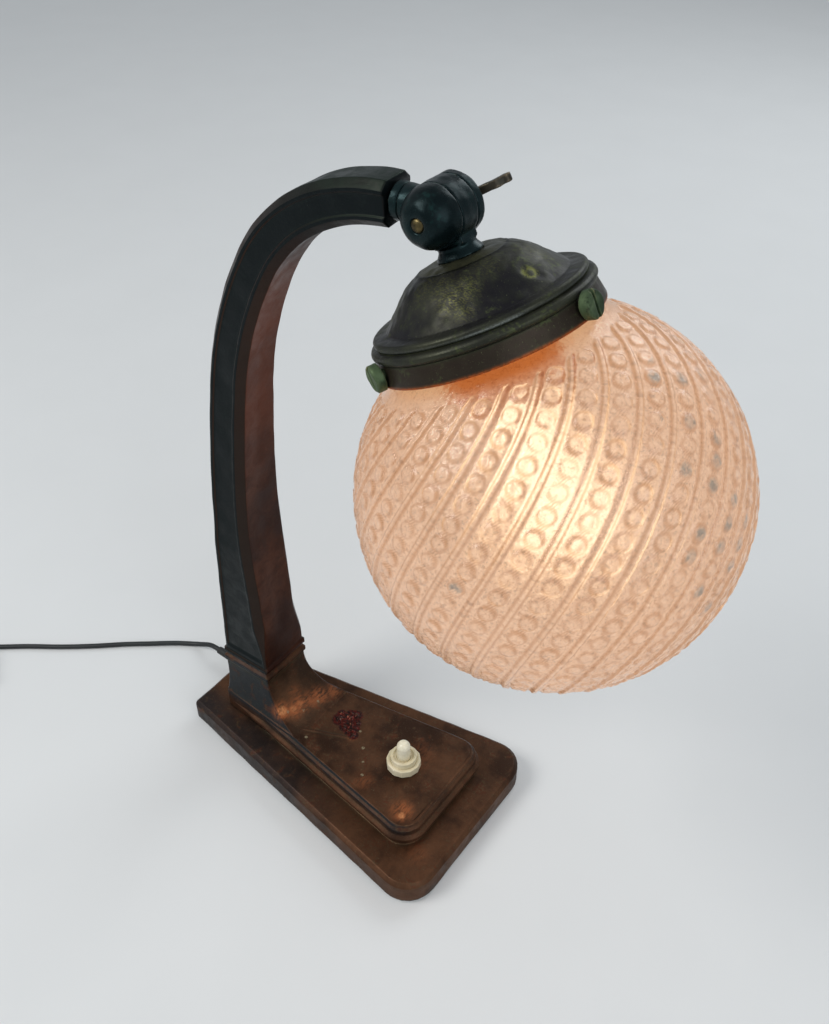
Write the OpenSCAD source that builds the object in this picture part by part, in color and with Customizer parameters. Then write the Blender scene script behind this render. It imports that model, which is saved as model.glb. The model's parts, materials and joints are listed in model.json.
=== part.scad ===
// Desk lamp: cast bronze base and arched arm, friction knuckle with a wing nut,
// spun gallery, three gallery screws, pressed glass globe, push switch and cord.
// Millimetres. The origin is the middle of the base's rest face, +X towards the
// base's front, +Z up. The head is drawn at the tilt that it rests at.

/* [Base plate] */
// Length of the base plate, back to front
plate_len = 167; // [150:1:190]
// Width of the plate at its back edge
plate_back_w = 51; // [46:1:60]
// Width of the plate at its front edge, before its corners are rounded
plate_front_w = 106; // [95:1:120]
// Height of the plate's top above the table
plate_h = 14; // [12:0.5:18]
// Radius of the plate's front corners
plate_front_r = 15; // [10:1:20]
// Radius of the plate's back corners
plate_back_r = 3; // [2:0.5:5]
// Bevel along the plate's top edge
plate_bevel = 2; // [1:0.5:3]
// Wall of the base casting
base_wall = 4; // [3:0.5:5]
// Thickness of the felt under the base
felt_t = 1.5; // [1:0.5:2.5]
// Thickness of the steel cover in the base's underside
cover_t = 1.2; // [0.8:0.2:2]
// Width of the casting's rim around the cover
cover_rim = 2.4; // [2:0.2:3]

/* [Plinth] */
// Height of the plinth's top above the table
plinth_h = 27; // [24:0.5:30]
// Gap from the plate's back edge to the plinth's top
plinth_back_gap = 17.5; // [16:0.5:20]
// Gap from the plate's front edge to the plinth's top
plinth_front_gap = 18.5; // [16:0.5:22]
// Width of the plinth's top at its back
plinth_back_w = 24; // [22:1:28]
// Width of the plinth's top at its front, before its corners are rounded
plinth_front_w = 64; // [58:1:70]
// Radius of the plinth's front corners
plinth_front_r = 9; // [7:1:12]
// How far the plinth's lowest bead stands out from its top edge
plinth_bead = 3.6; // [2.5:0.1:4.5]

/* [Column foot] */
// Depth of the column at its foot, back to front
foot_depth = 29; // [27:0.5:32]
// Width of the column at its foot
foot_w = 28.6; // [26:0.2:32]
// Distance from the plinth's back edge to the middle of the column's foot
foot_gap = 16; // [15.5:0.1:20]
// Height of the seam between the base and the arm
seam_h = 55; // [50:1:62]
// Radius of the sweep from the plinth up into the column
sweep_r = 22; // [18:1:24]
// How far the beads at the seam stand out
seam_bead = 0.8; // [0.4:0.1:1.2]
// Depth of the groove at the seam
seam_groove = 1.2; // [0.8:0.1:1.6]

/* [Arm] */
// Length of the arm's straight lower part
arm_straight = 70; // [66:1:76]
// Radius of the arm's first and widest bend
bend1_r = 632; // [600:4:660]
// Turn of the first bend, in degrees
bend1_turn = 9.2; // [8.4:0.1:10]
// Radius of the arm's second bend
bend2_r = 178; // [170:1:186]
// Turn of the second bend, in degrees
bend2_turn = 21.1; // [20:0.1:22.5]
// Radius of the arm's upper bend
bend3_r = 75; // [70:1:82]
// Turn of the upper bend, in degrees
bend3_turn = 55.8; // [54:0.1:57.5]
// Depth of the arm where the flare of its foot ends
waist_depth = 20; // [18:0.2:22]
// Length of the flare above the seam
flare_len = 95; // [85:1:105]
// Length of the arm's foot that keeps its full width
full_width_len = 80; // [70:1:90]
// Depth of the arm at its end
end_depth = 16; // [15:0.2:18]
// Width of the arm at its end
end_w = 16; // [15:0.2:18]
// Width of the chamfers along the arm's front edges
front_chamfer = 3.6; // [3:0.1:4.2]
// Width of the chamfers along its back edges at the seam
back_chamfer = 1.2; // [0.8:0.1:1.6]
// Width of all four chamfers at the arm's end
end_chamfer = 2.8; // [2.2:0.1:3.4]
// Depth of the sunk panel along each side of the arm
panel_depth = 0.7; // [0.4:0.1:1]
// Width of the border beside the sunk panel
panel_rim = 1.2; // [0.8:0.1:1.5]
// Bore through the arm, for the wires
arm_bore = 8; // [6.5:0.5:9]

/* [Knuckle] */
// Distance from the arm's end to the knuckle's axis
knuckle_reach = 18.5; // [17.5:0.5:21]
// Radius of the knuckle's cheeks and barrel
knuckle_r = 10.5; // [9.5:0.1:11]
// Width of the barrel between the cheeks
barrel_w = 8.6; // [8:0.1:10]
// Clearance on each side of the barrel
barrel_gap = 0.1; // [0.05:0.05:0.2]
// Height of the domed cheek over the barrel's side
dome_h = 10.6; // [9:0.1:12]
// Thickness of the flat cheek on the wing nut's side
cheek_t = 4.4; // [3.5:0.1:5.5]
// Diameter of the hinge bolt
bolt_d = 4; // [3.5:0.1:4.5]
// Radial clearance of a shaft or thread that turns in its hole
run_gap = 0.06; // [0.04:0.01:0.08]
// Radius of the wing nut's sweep
wing_r = 15; // [12:0.2:15.6]
// Thickness of the wing nut's wings
wing_t = 2.8; // [1.8:0.1:3.2]
// Angle of the wings about the bolt at rest, in degrees above the front
wing_turn = 32; // [0:1:90]
// Diameter of the threaded tubes in the arm and the neck
tube_d = 10; // [9.5:0.1:10.5]

/* [Head] */
// Tilt of the head at rest, in degrees forward from straight down
head_tilt = 27.5; // [15:0.5:35]
// Distance from the knuckle's axis down to the rim of the gallery
rim_drop = 43.7; // [42:0.1:47]
// Height of the gallery, from its rim to its crown
gallery_h = 28.5; // [27:0.1:30]
// Outer radius of the gallery at its rim
gallery_r = 39.8; // [39:0.1:42]
// Wall of the gallery
gallery_wall = 1.6; // [1.2:0.1:2]
// Height of the gallery screws above the rim
screw_h = 4.4; // [4:0.1:5]
// Diameter of a gallery screw's shank
screw_d = 4; // [3.5:0.1:4.2]
// Diameter of a gallery screw's head
screw_head_d = 9.6; // [8:0.2:10]
// Thickness of a gallery screw's head
screw_head_t = 3.6; // [3:0.1:4.5]

/* [Globe] */
// Outer radius of the globe
globe_r = 70; // [68:0.5:71]
// Thickness of the globe's glass
glass_t = 3; // [2.5:0.1:3.5]
// Number of the pressed ribs that wind round the globe
rib_count = 24; // [18:1:28]
// Height of the ribs on the globe
rib_h = 0.85; // [0.4:0.05:1]
// Degrees that a rib winds round for each degree that it runs down
rib_twist = 1.12; // [0.8:0.02:1.3]
// Gap from the gallery's rim down to the globe's shoulder
shoulder_gap = 0.77; // [0.5:0.01:3]
// Gap from the gallery's rim in to the globe's neck
neck_gap = 6.4; // [5.8:0.1:7]
// Gap from the gallery's rim in to the lip on the neck
lip_gap = 4.2; // [3.8:0.1:4.6]

/* [Lampholder and bulb] */
// Outer radius of the lampholder
holder_r = 18.6; // [18:0.1:20]
// Length of the lampholder
holder_len = 44; // [42:0.5:46]
// Radius of the bulb's screw cap
cap_r = 13; // [12.8:0.1:13.2]
// Largest radius of the bulb's glass
bulb_r = 27.5; // [25:0.5:29]
// Length of the bulb, from its contact to its tip
bulb_len = 98; // [94:1:104]

/* [Switch] */
// Distance of the switch in front of the base's middle
switch_x = 40; // [34:1:44]
// Diameter of the switch's threaded collar
collar_d = 13.2; // [12.4:0.1:14]
// Height of the collar's top above the plinth
collar_h = 7.6; // [6.5:0.1:9]
// Width of the ring nut across its corners
nut_w = 17.4; // [16.6:0.1:19]
// Height of the ring nut
nut_h = 4.4; // [3.6:0.1:5]
// Diameter of the push button
button_d = 6.9; // [6.4:0.1:7.4]
// Height of the button's crown above the collar
button_h = 9.6; // [8:0.1:11]
// Travel of the button
button_travel = 2.5; // [2:0.1:3]
// Diameter of the switch's body under the plinth
switch_body_d = 22; // [20:0.5:24]

/* [Cord and plug] */
// Diameter of the cord
cord_d = 2.8; // [2.4:0.1:3]
// Distance of the cord's outlet beside the middle of the base
outlet_y = 14; // [10:0.5:16]
// Length of the tapered bush outside the base
bush_len = 20; // [20:1:24]
// Turns in each layer of the stored coil
coil_turns = 3.58; // [3.52:0.02:3.66]
// Distance between neighbouring turns and layers of the coil
coil_pitch = 3.4; // [3.4:0.1:3.6]
// Radius of the coil's innermost turn
coil_in_r = 10.4; // [10:0.2:12]
// Length of the plug's body
plug_len = 34; // [30:1:38]
// Distance between the plug's pins
pin_gap = 19; // [18.6:0.1:19]

/* [Hidden] */
$fn = 64;

// Places that follow from the sizes above
plate_back_x = -plate_len / 2;
plate_front_x = plate_len / 2;
plinth_front_x = plate_front_x - plinth_front_gap;
plinth_back_x = plate_back_x + plinth_back_gap;
foot_x = plinth_back_x + foot_gap;
inner_top = plinth_h - base_wall;
// Clearance of a part that drops into its seat
seat = 0.3;
// Thickness of the web that carries the arm, and reach of the threaded tubes
web_t = 6;
tube_down = 18;
tube_up = 20;
// Thickness, radial wall and clearance of small fittings
nut_t = 5.5;
thin_wall = 1.4;
wire_r = 0.9;
wire_y = 0.95;

// Outlines

// Unit vector along v
function unit(v) = v / norm(v);

// Straight change from a to b as x goes from x0 to x1, held outside them
function ramp(x, x0, x1, a, b) = a + (b - a) * max(0, min(1, (x - x0) / (x1 - x0)));

// Points of an arc that rounds corner p between its neighbours a and b
function corner(a, p, b, r, n) =
    let (u = unit(a - p), v = unit(b - p))
    let (half = acos(max(-1, min(1, u * v))) / 2)
    let (c = p + unit(u + v) * r / sin(half))
    let (s = p + u * r / tan(half) - c, e = p + v * r / tan(half) - c)
    let (a0 = atan2(s[1], s[0]), d = atan2(e[1], e[0]) - a0)
    let (turn = d > 180 ? d - 360 : d < -180 ? d + 360 : d)
    [for (i = [0:n]) c + r * [cos(a0 + turn * i / n), sin(a0 + turn * i / n)]];

// Trapezoid about the X axis: back and front x, half widths there, inset, corner radii
function trapezoid(xb, xf, wb, wf, inset, rb, rf, n = 6) =
    let (m = (wf - wb) / (xf - xb), side = inset * sqrt(1 + m * m))
    let (x0 = xb + inset, x1 = xf - inset)
    let (w0 = wb + m * inset - side, w1 = wf - m * inset - side)
    let (p = [[x0, -w0], [x1, -w1], [x1, w1], [x0, w0]])
    concat(corner(p[3], p[0], p[1], rb, n), corner(p[0], p[1], p[2], rf, n),
        corner(p[1], p[2], p[3], rf, n), corner(p[2], p[3], p[0], rb, n));

function plate_outline(inset) = trapezoid(plate_back_x, plate_front_x, plate_back_w / 2,
    plate_front_w / 2, inset, max(0.6, plate_back_r - inset), max(1, plate_front_r - inset));

function plinth_outline(inset) = trapezoid(plinth_back_x, plinth_front_x, plinth_back_w / 2,
    plinth_front_w / 2, inset, max(0.6, 2 - inset), max(1, plinth_front_r - inset));

// Half widths of the plate and of the plinth's top at x
function plate_half(x) = ramp(x, plate_back_x, plate_front_x, plate_back_w / 2, plate_front_w / 2);
function plinth_half(x) = ramp(x, plinth_back_x, plinth_front_x, plinth_back_w / 2, plinth_front_w / 2);

function at_height(outline, z) = [for (p = outline) [p[0], p[1], z]];

// Closed solid through rings of equal point counts, capped at both ends
module skin(rings) {
    n = len(rings[0]);
    m = len(rings);
    points = [for (r = rings) each r];
    sides = [for (j = [0:m - 2]) for (i = [0:n - 1]) each
        [[j * n + i, (j + 1) * n + i, (j + 1) * n + (i + 1) % n],
        [j * n + i, (j + 1) * n + (i + 1) % n, j * n + (i + 1) % n]]];
    caps = [[for (i = [0:n - 1]) i], [for (i = [n - 1:-1:0]) (m - 1) * n + i]];
    polyhedron(points, concat(sides, caps), convexity = 6);
}

// Ring of n points about p, square to direction t, for a path that never runs along aside
function round_ring(p, t, r, n, aside) =
    let (u = unit(cross(aside, t)), v = cross(t, u))
    [for (i = [0:n - 1]) p + r * (cos(360 * (i + 0.5) / n) * u + sin(360 * (i + 0.5) / n) * v)];

// Tube along a path, with end directions given or taken from the path
module tube(path, r, n, first = undef, last = undef, aside = [0, 0, 1]) {
    e = len(path) - 1;
    skin([for (i = [0:e]) round_ring(path[i], i == 0 && first != undef ? first :
        i == e && last != undef ? last :
        unit(path[min(i + 1, e)] - path[max(i - 1, 0)]), r, n, aside)]);
}

// Points of a smooth curve through p, with m steps in each stretch
function curve(p, m) =
    let (e = len(p) - 1)
    concat([for (i = [0:e - 1]) for (k = [0:m - 1])
        let (t = k / m, a = p[max(0, i - 1)], b = p[i], c = p[i + 1], d = p[min(e, i + 2)])
        b + 0.5 * t * (c - a) + t * t * (a - 2.5 * b + 2 * c - 0.5 * d)
            + t * t * t * 0.5 * (3 * b - a - 3 * c + d)], [p[e]]);

// Thin insulated wire through points
module wire(points, m = 3) tube(curve(points, m), wire_r, 6, aside = [0, 1, 0]);

// Base

// Plate and plinth, as height and inset of each ring
module base_outer() {
    skin([
        at_height(plate_outline(0), felt_t),
        at_height(plate_outline(0), plate_h - plate_bevel),
        at_height(plate_outline(plate_bevel), plate_h)]);
    skin([
        at_height(plinth_outline(-1.4), plate_h - 1),
        at_height(plinth_outline(-1.4), plate_h + 2.6),
        at_height(plinth_outline(-plinth_bead), plate_h + 4),
        at_height(plinth_outline(-plinth_bead), plinth_h - 7),
        at_height(plinth_outline(-1.9), plinth_h - 5.4),
        at_height(plinth_outline(-1.9), plinth_h - 2.4),
        at_height(plinth_outline(-0.6), plinth_h - 1.4),
        at_height(plinth_outline(0), plinth_h)]);
}

foot_flare = 1.6;
sweep_top = plinth_h + sweep_r;
sweep_end_x = foot_x + foot_depth / 2 + sweep_r + foot_flare;
// How much the foot widens until its sweep meets the plinth's top edge
sweep_spread = plinth_half(sweep_end_x) - foot_w / 2 - foot_flare;

// Beads and groove at the seam, as distance from the seam and how far they stand out
seam_profile = [[0, -seam_groove], [1.8, seam_bead], [3.8, seam_bead], [4.6, 0]];

// Section of the foot, standing out by out, with its front swept to the plinth
function foot_ring(z, out, sweep, spread) = at_height(trapezoid(foot_x - foot_depth / 2 - out,
    foot_x + foot_depth / 2 + out + sweep, foot_w / 2 + out, foot_w / 2 + out + spread, 0, 1.2, 1.2, 3), z);

module foot_outer() {
    steps = 10;
    skin(concat([foot_ring(plate_h - 1, foot_flare, sweep_r, sweep_spread)],
        [for (i = [steps:-1:0])
            let (a = 90 * i / steps, k = 1 - cos(a))
            foot_ring(sweep_top - sweep_r * sin(a), foot_flare * k, sweep_r * k, sweep_spread * k)],
        [for (i = [3:-1:0]) foot_ring(seam_h - seam_profile[i][0], seam_profile[i][1], 0, 0)]));
}

// Where the cord enters, and the bar that grips it
outlet_z = plate_h / 2;
bush_flange_r = plate_h - base_wall - outlet_z - 0.1;
bush_neck_r = bush_flange_r - 0.5;
clamp_t = 1.5;
clamp_w = 15;
clamp_screw_d = 2.5;
clamp_hole = 4.5;
clamp_top = outlet_z - cord_d / 2;
clamp_x = plate_back_x + base_wall + 9.5;
clamp_post_r = 2.4;

// Posts for the cover's screws
boss_r = 4.2;
boss_x = [clamp_x + 12, plinth_front_x + 6];
boss_y = [for (x = boss_x) plate_half(x) - base_wall - boss_r - (x < 0 ? 0.5 : 3.7)];
boss_at = [for (i = [0, 1]) for (s = [-1, 1]) [boss_x[i], s * boss_y[i]]];
cover_top = felt_t + cover_t;
screw_shank = 3;

module base_casting() color("saddlebrown") difference() {
    union() {
        difference() {
            union() {
                base_outer();
                foot_outer();
            }
            skin([
                at_height(plate_outline(cover_rim), felt_t - 1),
                at_height(plate_outline(cover_rim), cover_top)]);
            skin([
                at_height(plate_outline(base_wall), felt_t),
                at_height(plate_outline(base_wall), plate_h - base_wall)]);
            skin([
                at_height(plinth_outline(base_wall - 2), plate_h - base_wall - 1),
                at_height(plinth_outline(base_wall - 2), inner_top)]);
            // Hollow of the foot
            translate([foot_x - foot_depth / 2 + base_wall, -foot_w / 2 + base_wall, felt_t])
                cube([foot_depth - 2 * base_wall, foot_w - 2 * base_wall, seam_h - web_t - felt_t]);
        }
        for (p = boss_at)
            translate([p[0], p[1], cover_top])
                cylinder(r = boss_r, h = plate_h - base_wall / 2 - cover_top);
        for (s = [-1, 1])
            translate([clamp_x, outlet_y + s * clamp_hole, clamp_top])
                cylinder(r = clamp_post_r, h = plate_h - base_wall / 2 - clamp_top);
    }
    for (p = boss_at)
        translate([p[0], p[1], felt_t])
            cylinder(d = screw_shank, h = 7.5);
    for (s = [-1, 1])
        translate([clamp_x, outlet_y + s * clamp_hole, clamp_top - 1])
            cylinder(d = clamp_screw_d, h = 4.5);
    // Hole for the threaded tube that holds the arm
    translate([foot_x, 0, seam_h - web_t - 1])
        cylinder(r = tube_d / 2 + seat, h = web_t + 3);
    // Hole for the switch
    translate([switch_x, 0, inner_top - 1])
        cylinder(r = collar_d / 2 + 0.15, h = base_wall + 2);
    // Hole for the cord's bush
    translate([plate_back_x - 1, outlet_y, outlet_z])
        rotate([0, 90, 0]) cylinder(r = bush_neck_r, h = base_wall + 3);
}

screw_head_r = 2.8;
module base_felt() color("darkgreen") difference() {
    linear_extrude(felt_t) polygon(plate_outline(1.2));
    for (p = boss_at)
        translate([p[0], p[1], -1]) cylinder(r = screw_head_r + seat, h = felt_t + 2);
}

module base_cover() color("dimgray") difference() {
    translate([0, 0, felt_t]) linear_extrude(cover_t)
        polygon(plate_outline(cover_rim + seat));
    for (p = boss_at)
        translate([p[0], p[1], felt_t - 1]) cylinder(d = screw_shank + 0.4, h = cover_t + 2);
}

// Screws with flat heads, sunk in the felt
module cover_screws() color("silver") for (p = boss_at)
    translate([p[0], p[1], 0]) {
        translate([0, 0, felt_t - 1]) difference() {
            cylinder(r = screw_head_r, h = 1);
            translate([-3, -0.4, -0.5]) cube([6, 0.8, 0.9]);
        }
        translate([0, 0, felt_t]) cylinder(d = screw_shank, h = 6.5);
    }

// Cord inside the base

bush_end_x = plate_back_x - bush_len;
lead_end_x = clamp_x + 10;

// Rubber bush with a tapered sleeve round the cord
module cord_bush() color("dimgray") translate([plate_back_x, outlet_y, outlet_z])
    rotate([0, -90, 0]) rotate_extrude() polygon([
        [cord_d / 2, -base_wall - 1.6], [bush_flange_r, -base_wall - 1.6],
        [bush_flange_r, -base_wall], [bush_neck_r, -base_wall], [bush_neck_r, 0],
        [cord_d * 1.5, 0], [cord_d * 1.5, 1.6], [cord_d, 2.2],
        [cord_d / 2 + 0.7, bush_len], [cord_d / 2, bush_len]]);

module lead_inside() color("darkolivegreen") translate([bush_end_x, outlet_y, outlet_z])
    rotate([0, 90, 0]) cylinder(d = cord_d, h = lead_end_x - bush_end_x);

// Bar that grips the cord against its posts
module cord_clamp() color("tan") difference() {
    translate([clamp_x - 3, outlet_y - clamp_w / 2, clamp_top - clamp_t])
        cube([6, clamp_w, clamp_t]);
    for (s = [-1, 1])
        translate([clamp_x, outlet_y + s * clamp_hole, 0]) cylinder(d = clamp_screw_d, h = plate_h);
}

module clamp_screws() color("silver") for (s = [-1, 1])
    translate([clamp_x, outlet_y + s * clamp_hole, clamp_top - clamp_t]) {
        translate([0, 0, -1]) cylinder(d = 4.2, h = 1);
        cylinder(d = clamp_screw_d, h = clamp_t + 3);
    }

// Switch

collar_top = plinth_h + collar_h;
switch_deep = 14;
switch_bottom = inner_top - switch_deep;
// Height of the collar's bore, the shoulder that holds the button in, and the recess above it
shoulder_z = collar_top - 5.5;
recess_z = collar_top - 1.2;
chamber_r = 5;
button_flange_t = 1.5;
spring_floor = switch_bottom + 2;

module switch_body() color("ivory") translate([switch_x, 0, 0]) difference() {
    union() {
        translate([0, 0, switch_bottom]) cylinder(d = switch_body_d, h = switch_deep);
        translate([0, 0, switch_bottom]) cylinder(d = collar_d, h = collar_top - switch_bottom);
    }
    translate([0, 0, spring_floor]) cylinder(r = chamber_r, h = shoulder_z - spring_floor);
    translate([0, 0, shoulder_z - 1]) cylinder(r = button_d / 2 + run_gap, h = 8);
    translate([0, 0, recess_z]) cylinder(r = chamber_r, h = 3);
}

module switch_terminals() color("goldenrod") for (s = [-1, 1])
    translate([switch_x + s * 6 - 0.5, -2, switch_bottom - 4.5]) cube([1, 4, 4.5]);

module switch_nut() color("ivory") translate([switch_x, 0, plinth_h]) difference() {
    cylinder(d = nut_w, h = nut_h, $fn = 12);
    translate([0, 0, -1]) cylinder(d = collar_d, h = nut_h + 2);
}

module switch_button() color("ivory") translate([switch_x, 0, 0]) {
    r = button_d / 2;
    flange_top = shoulder_z - 0.1;
    translate([0, 0, flange_top - button_flange_t])
        cylinder(r = chamber_r - 0.4, h = button_flange_t);
    translate([0, 0, flange_top - 1])
        cylinder(r = r, h = collar_top + button_h - r - flange_top + 1);
    translate([0, 0, collar_top + button_h - r]) sphere(r = r);
}

spring_r = 3.6;
spring_wire = 0.45;
spring_turns = 5;
spring_top = shoulder_z - 0.1 - button_flange_t;
// Compression spring under the button
module switch_spring() color("silver") translate([switch_x, 0, 0]) {
    steps = spring_turns * 14;
    z0 = spring_floor + spring_wire;
    z1 = spring_top - spring_wire;
    path = [for (i = [0:steps]) [spring_r * cos(360 * spring_turns * i / steps),
        spring_r * sin(360 * spring_turns * i / steps), z0 + (z1 - z0) * i / steps]];
    tube(path, spring_wire, 6);
}

// Arm

// Radius and turn of each bend, and the direction in which each starts
bends = [[bend1_r, bend1_turn], [bend2_r, bend2_turn], [bend3_r, bend3_turn]];
bend_from = [90, 90 - bend1_turn, 90 - bend1_turn - bend2_turn];
arm_end_turn = bend_from[2] - bend3_turn;
// Length of the arm's middle line up to the start of each bend, and to its end
bend_len = [for (b = bends) b[0] * b[1] * PI / 180];
bend_s = [arm_straight, arm_straight + bend_len[0], arm_straight + bend_len[0] + bend_len[1]];
arm_len = bend_s[2] + bend_len[2];

// Centre of bend i, and the point after a turn along it
function bend_centre(i) = bend_start(i) + bends[i][0] * [sin(bend_from[i]), -cos(bend_from[i])];
function bend_at(i, turn) = bend_centre(i)
    + bends[i][0] * [-sin(bend_from[i] - turn), cos(bend_from[i] - turn)];
function bend_start(i) = i == 0 ? [foot_x, seam_h + arm_straight] : bend_at(i - 1, bends[i - 1][1]);

// Point and direction of the middle line at length s
function bend_index(s) = s < bend_s[1] ? 0 : s < bend_s[2] ? 1 : 2;
function turned(s) = let (i = bend_index(s)) (s - bend_s[i]) / bend_len[i] * bends[i][1];
function arm_at(s) = s < arm_straight ? [foot_x, seam_h + s] : bend_at(bend_index(s), turned(s));
function arm_turn(s) = s < arm_straight ? 90 : bend_from[bend_index(s)] - turned(s);

function arm_depth(s) = s < flare_len ? ramp(s, 0, flare_len, foot_depth, waist_depth)
    : ramp(s, flare_len, arm_len, waist_depth, end_depth);
function arm_width(s) = ramp(s, full_width_len, arm_len, foot_w, end_w);
function seam_out(s) = s < seam_profile[1][0] ? ramp(s, 0, seam_profile[1][0], -seam_groove, seam_bead)
    : ramp(s, seam_profile[2][0], seam_profile[3][0], seam_bead, 0);

// The front chamfers run out above the foot, as a lamb's tongue
stop_low = 12;
stop_high = 30;
foot_edge = 0.8;
front_dish = 0.5;
rim_slope = 0.5;

// Section of the arm at s: front, side with its sunk panel, back, and the mirrored half
function arm_ring(s) =
    let (h = arm_depth(s) / 2 + seam_out(s), w = arm_width(s) / 2 + seam_out(s))
    let (full = ramp(s, stop_high, arm_len, front_chamfer, end_chamfer))
    let (cf = ramp(s, stop_low, stop_high, foot_edge, full))
    let (cb = ramp(s, 0, arm_len, back_chamfer, end_chamfer))
    let (dish = ramp(s, stop_low, stop_high, 0, front_dish))
    let (rec = ramp(s, 7, 9, 0, panel_depth))
    let (front_rim = h - cf - panel_rim, back_rim = -h + cb + panel_rim)
    let (half = [[h, w - cf], [h - cf, w], [front_rim, w], [front_rim - rim_slope, w - rec],
        [back_rim + rim_slope, w - rec], [back_rim, w], [-h + cb, w], [-h, w - cb]])
    let (outline = concat([[h - dish, 0]], half, [for (i = [7:-1:0]) [half[i][0], -half[i][1]]]))
    let (p = arm_at(s), a = arm_turn(s))
    [for (q = outline) [p[0] + q[0] * sin(a), q[1], p[1] - q[0] * cos(a)]];

bend_steps = [7, 8, 13];
arm_s = concat([for (p = seam_profile) p[0]], [7, 9, stop_low, 16, 20, 25, stop_high],
    [for (i = [1:4]) stop_high + (arm_straight - stop_high) * i / 4],
    [for (b = [0:2]) for (i = [1:bend_steps[b]]) bend_s[b] + bend_len[b] * i / bend_steps[b]]);

// Points along the arm's middle line, beside it by off, up to length end
arm_tip = arm_at(arm_len - 0.0001);
function arm_line(off, end) = [for (s = arm_s) if (s > stop_high && s < end)
    let (p = arm_at(min(s, arm_len - 0.0001))) [p[0], off, p[1]]];

// Frame at the arm's end, with +X along the arm
module at_arm_end()
    translate([arm_tip[0], 0, arm_tip[1]]) rotate([0, -arm_end_turn, 0]) children();

nipple_in = 14;
collar_r = 6.75;
collar_t = 4;
// Dark gap between the arm's end and the collar
collar_gap = 1;

module arm_casting() color("sienna") difference() {
    skin([for (s = arm_s) arm_ring(min(s, arm_len - 0.0001))]);
    tube(concat([[foot_x, 0, seam_h + tube_up - 2]], arm_line(0, arm_len - nipple_in + 4)),
        arm_bore / 2, 16, [0, 0, 1], aside = [0, 1, 0]);
    translate([foot_x, 0, seam_h - 1]) cylinder(d = tube_d, h = tube_up + 1);
    at_arm_end() translate([-nipple_in, 0, 0]) rotate([0, 90, 0]) cylinder(d = tube_d, h = nipple_in + 1);
}

// Threaded tube and nut that clamp the arm on the base
module arm_tube() color("goldenrod") translate([foot_x, 0, seam_h - tube_down]) difference() {
    cylinder(d = tube_d, h = tube_down + tube_up);
    translate([0, 0, -1]) cylinder(d = tube_d - 3, h = tube_down + tube_up + 2);
}

module arm_nut() color("silver") translate([foot_x, 0, seam_h - web_t - nut_t]) difference() {
    cylinder(d = tube_d * 1.8, h = nut_t, $fn = 6);
    translate([0, 0, -1]) cylinder(d = tube_d, h = nut_t + 2);
}

// Insulated wires from the base to the knuckle
wire_end = knuckle_reach - knuckle_r - 0.6;
function to_knuckle(off) = concat(arm_line(off, arm_len + 1), [[arm_tip[0]
    + wire_end * cos(arm_end_turn), off, arm_tip[1] + wire_end * sin(arm_end_turn)]]);
splice_z = seam_h - tube_down - 4;
module arm_wires() color("firebrick") {
    wire(concat([[lead_end_x, outlet_y - wire_y, outlet_z],
        [lead_end_x + 2, outlet_y - wire_y, outlet_z], [lead_end_x + 6, outlet_y - 5, 11],
        [foot_x, 3, 22], [foot_x, wire_y, splice_z]],
        to_knuckle(wire_y)), 1);
    wire(concat([[switch_x - 6.8, -1, switch_bottom - 3.5], [switch_x - 12, -3, 6],
        [foot_x + 26, -5, 14], [foot_x + 2, -4, 20], [foot_x, -wire_y, splice_z]],
        to_knuckle(-wire_y)), 1);
}

module switch_wires() color("navy") wire([[lead_end_x, outlet_y + wire_y, outlet_z],
    [lead_end_x + 2, outlet_y + wire_y, outlet_z], [lead_end_x + 12, outlet_y - 2, 5.2],
    [switch_x - 12, 5, 4.5], [switch_x + 4, 4, 4.2], [switch_x + 6, 2.6, switch_bottom - 3]]);

// Knuckle

knuckle = arm_tip + knuckle_reach * [cos(arm_end_turn), sin(arm_end_turn)];

// Frame at the knuckle's axis: square with the base, along the arm's end, or tilted with the head
module at_knuckle() translate([knuckle[0], 0, knuckle[1]]) children();
module at_arm_side() at_knuckle() rotate([0, -arm_end_turn, 0]) children();
module at_head() at_knuckle() rotate([0, -head_tilt, 0]) children();

slot_half = barrel_w / 2 + barrel_gap;
slot_r = knuckle_r + 0.3;
root_r = 6.25;
nipple_spigot_r = 4;
nipple_bore_r = 2.4;
root_len = knuckle_reach - collar_t - slot_r;
spigot_len = root_len - 1.2;
rim_band = 1.2;
dome_flat_r = 3.4;

// Collar between the arm and the knuckle, with a thread into each
module arm_nipple() color("rosybrown") at_arm_end() rotate([0, 90, 0]) difference() {
    union() {
        translate([0, 0, -nipple_in]) cylinder(d = tube_d, h = nipple_in + 1);
        translate([0, 0, collar_gap]) cylinder(r1 = collar_r, r2 = root_r, h = collar_t - collar_gap);
        cylinder(r = nipple_spigot_r, h = collar_t + spigot_len);
    }
    translate([0, 0, -nipple_in - 1]) cylinder(r = nipple_bore_r, h = nipple_in + collar_t + root_len);
}

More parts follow.
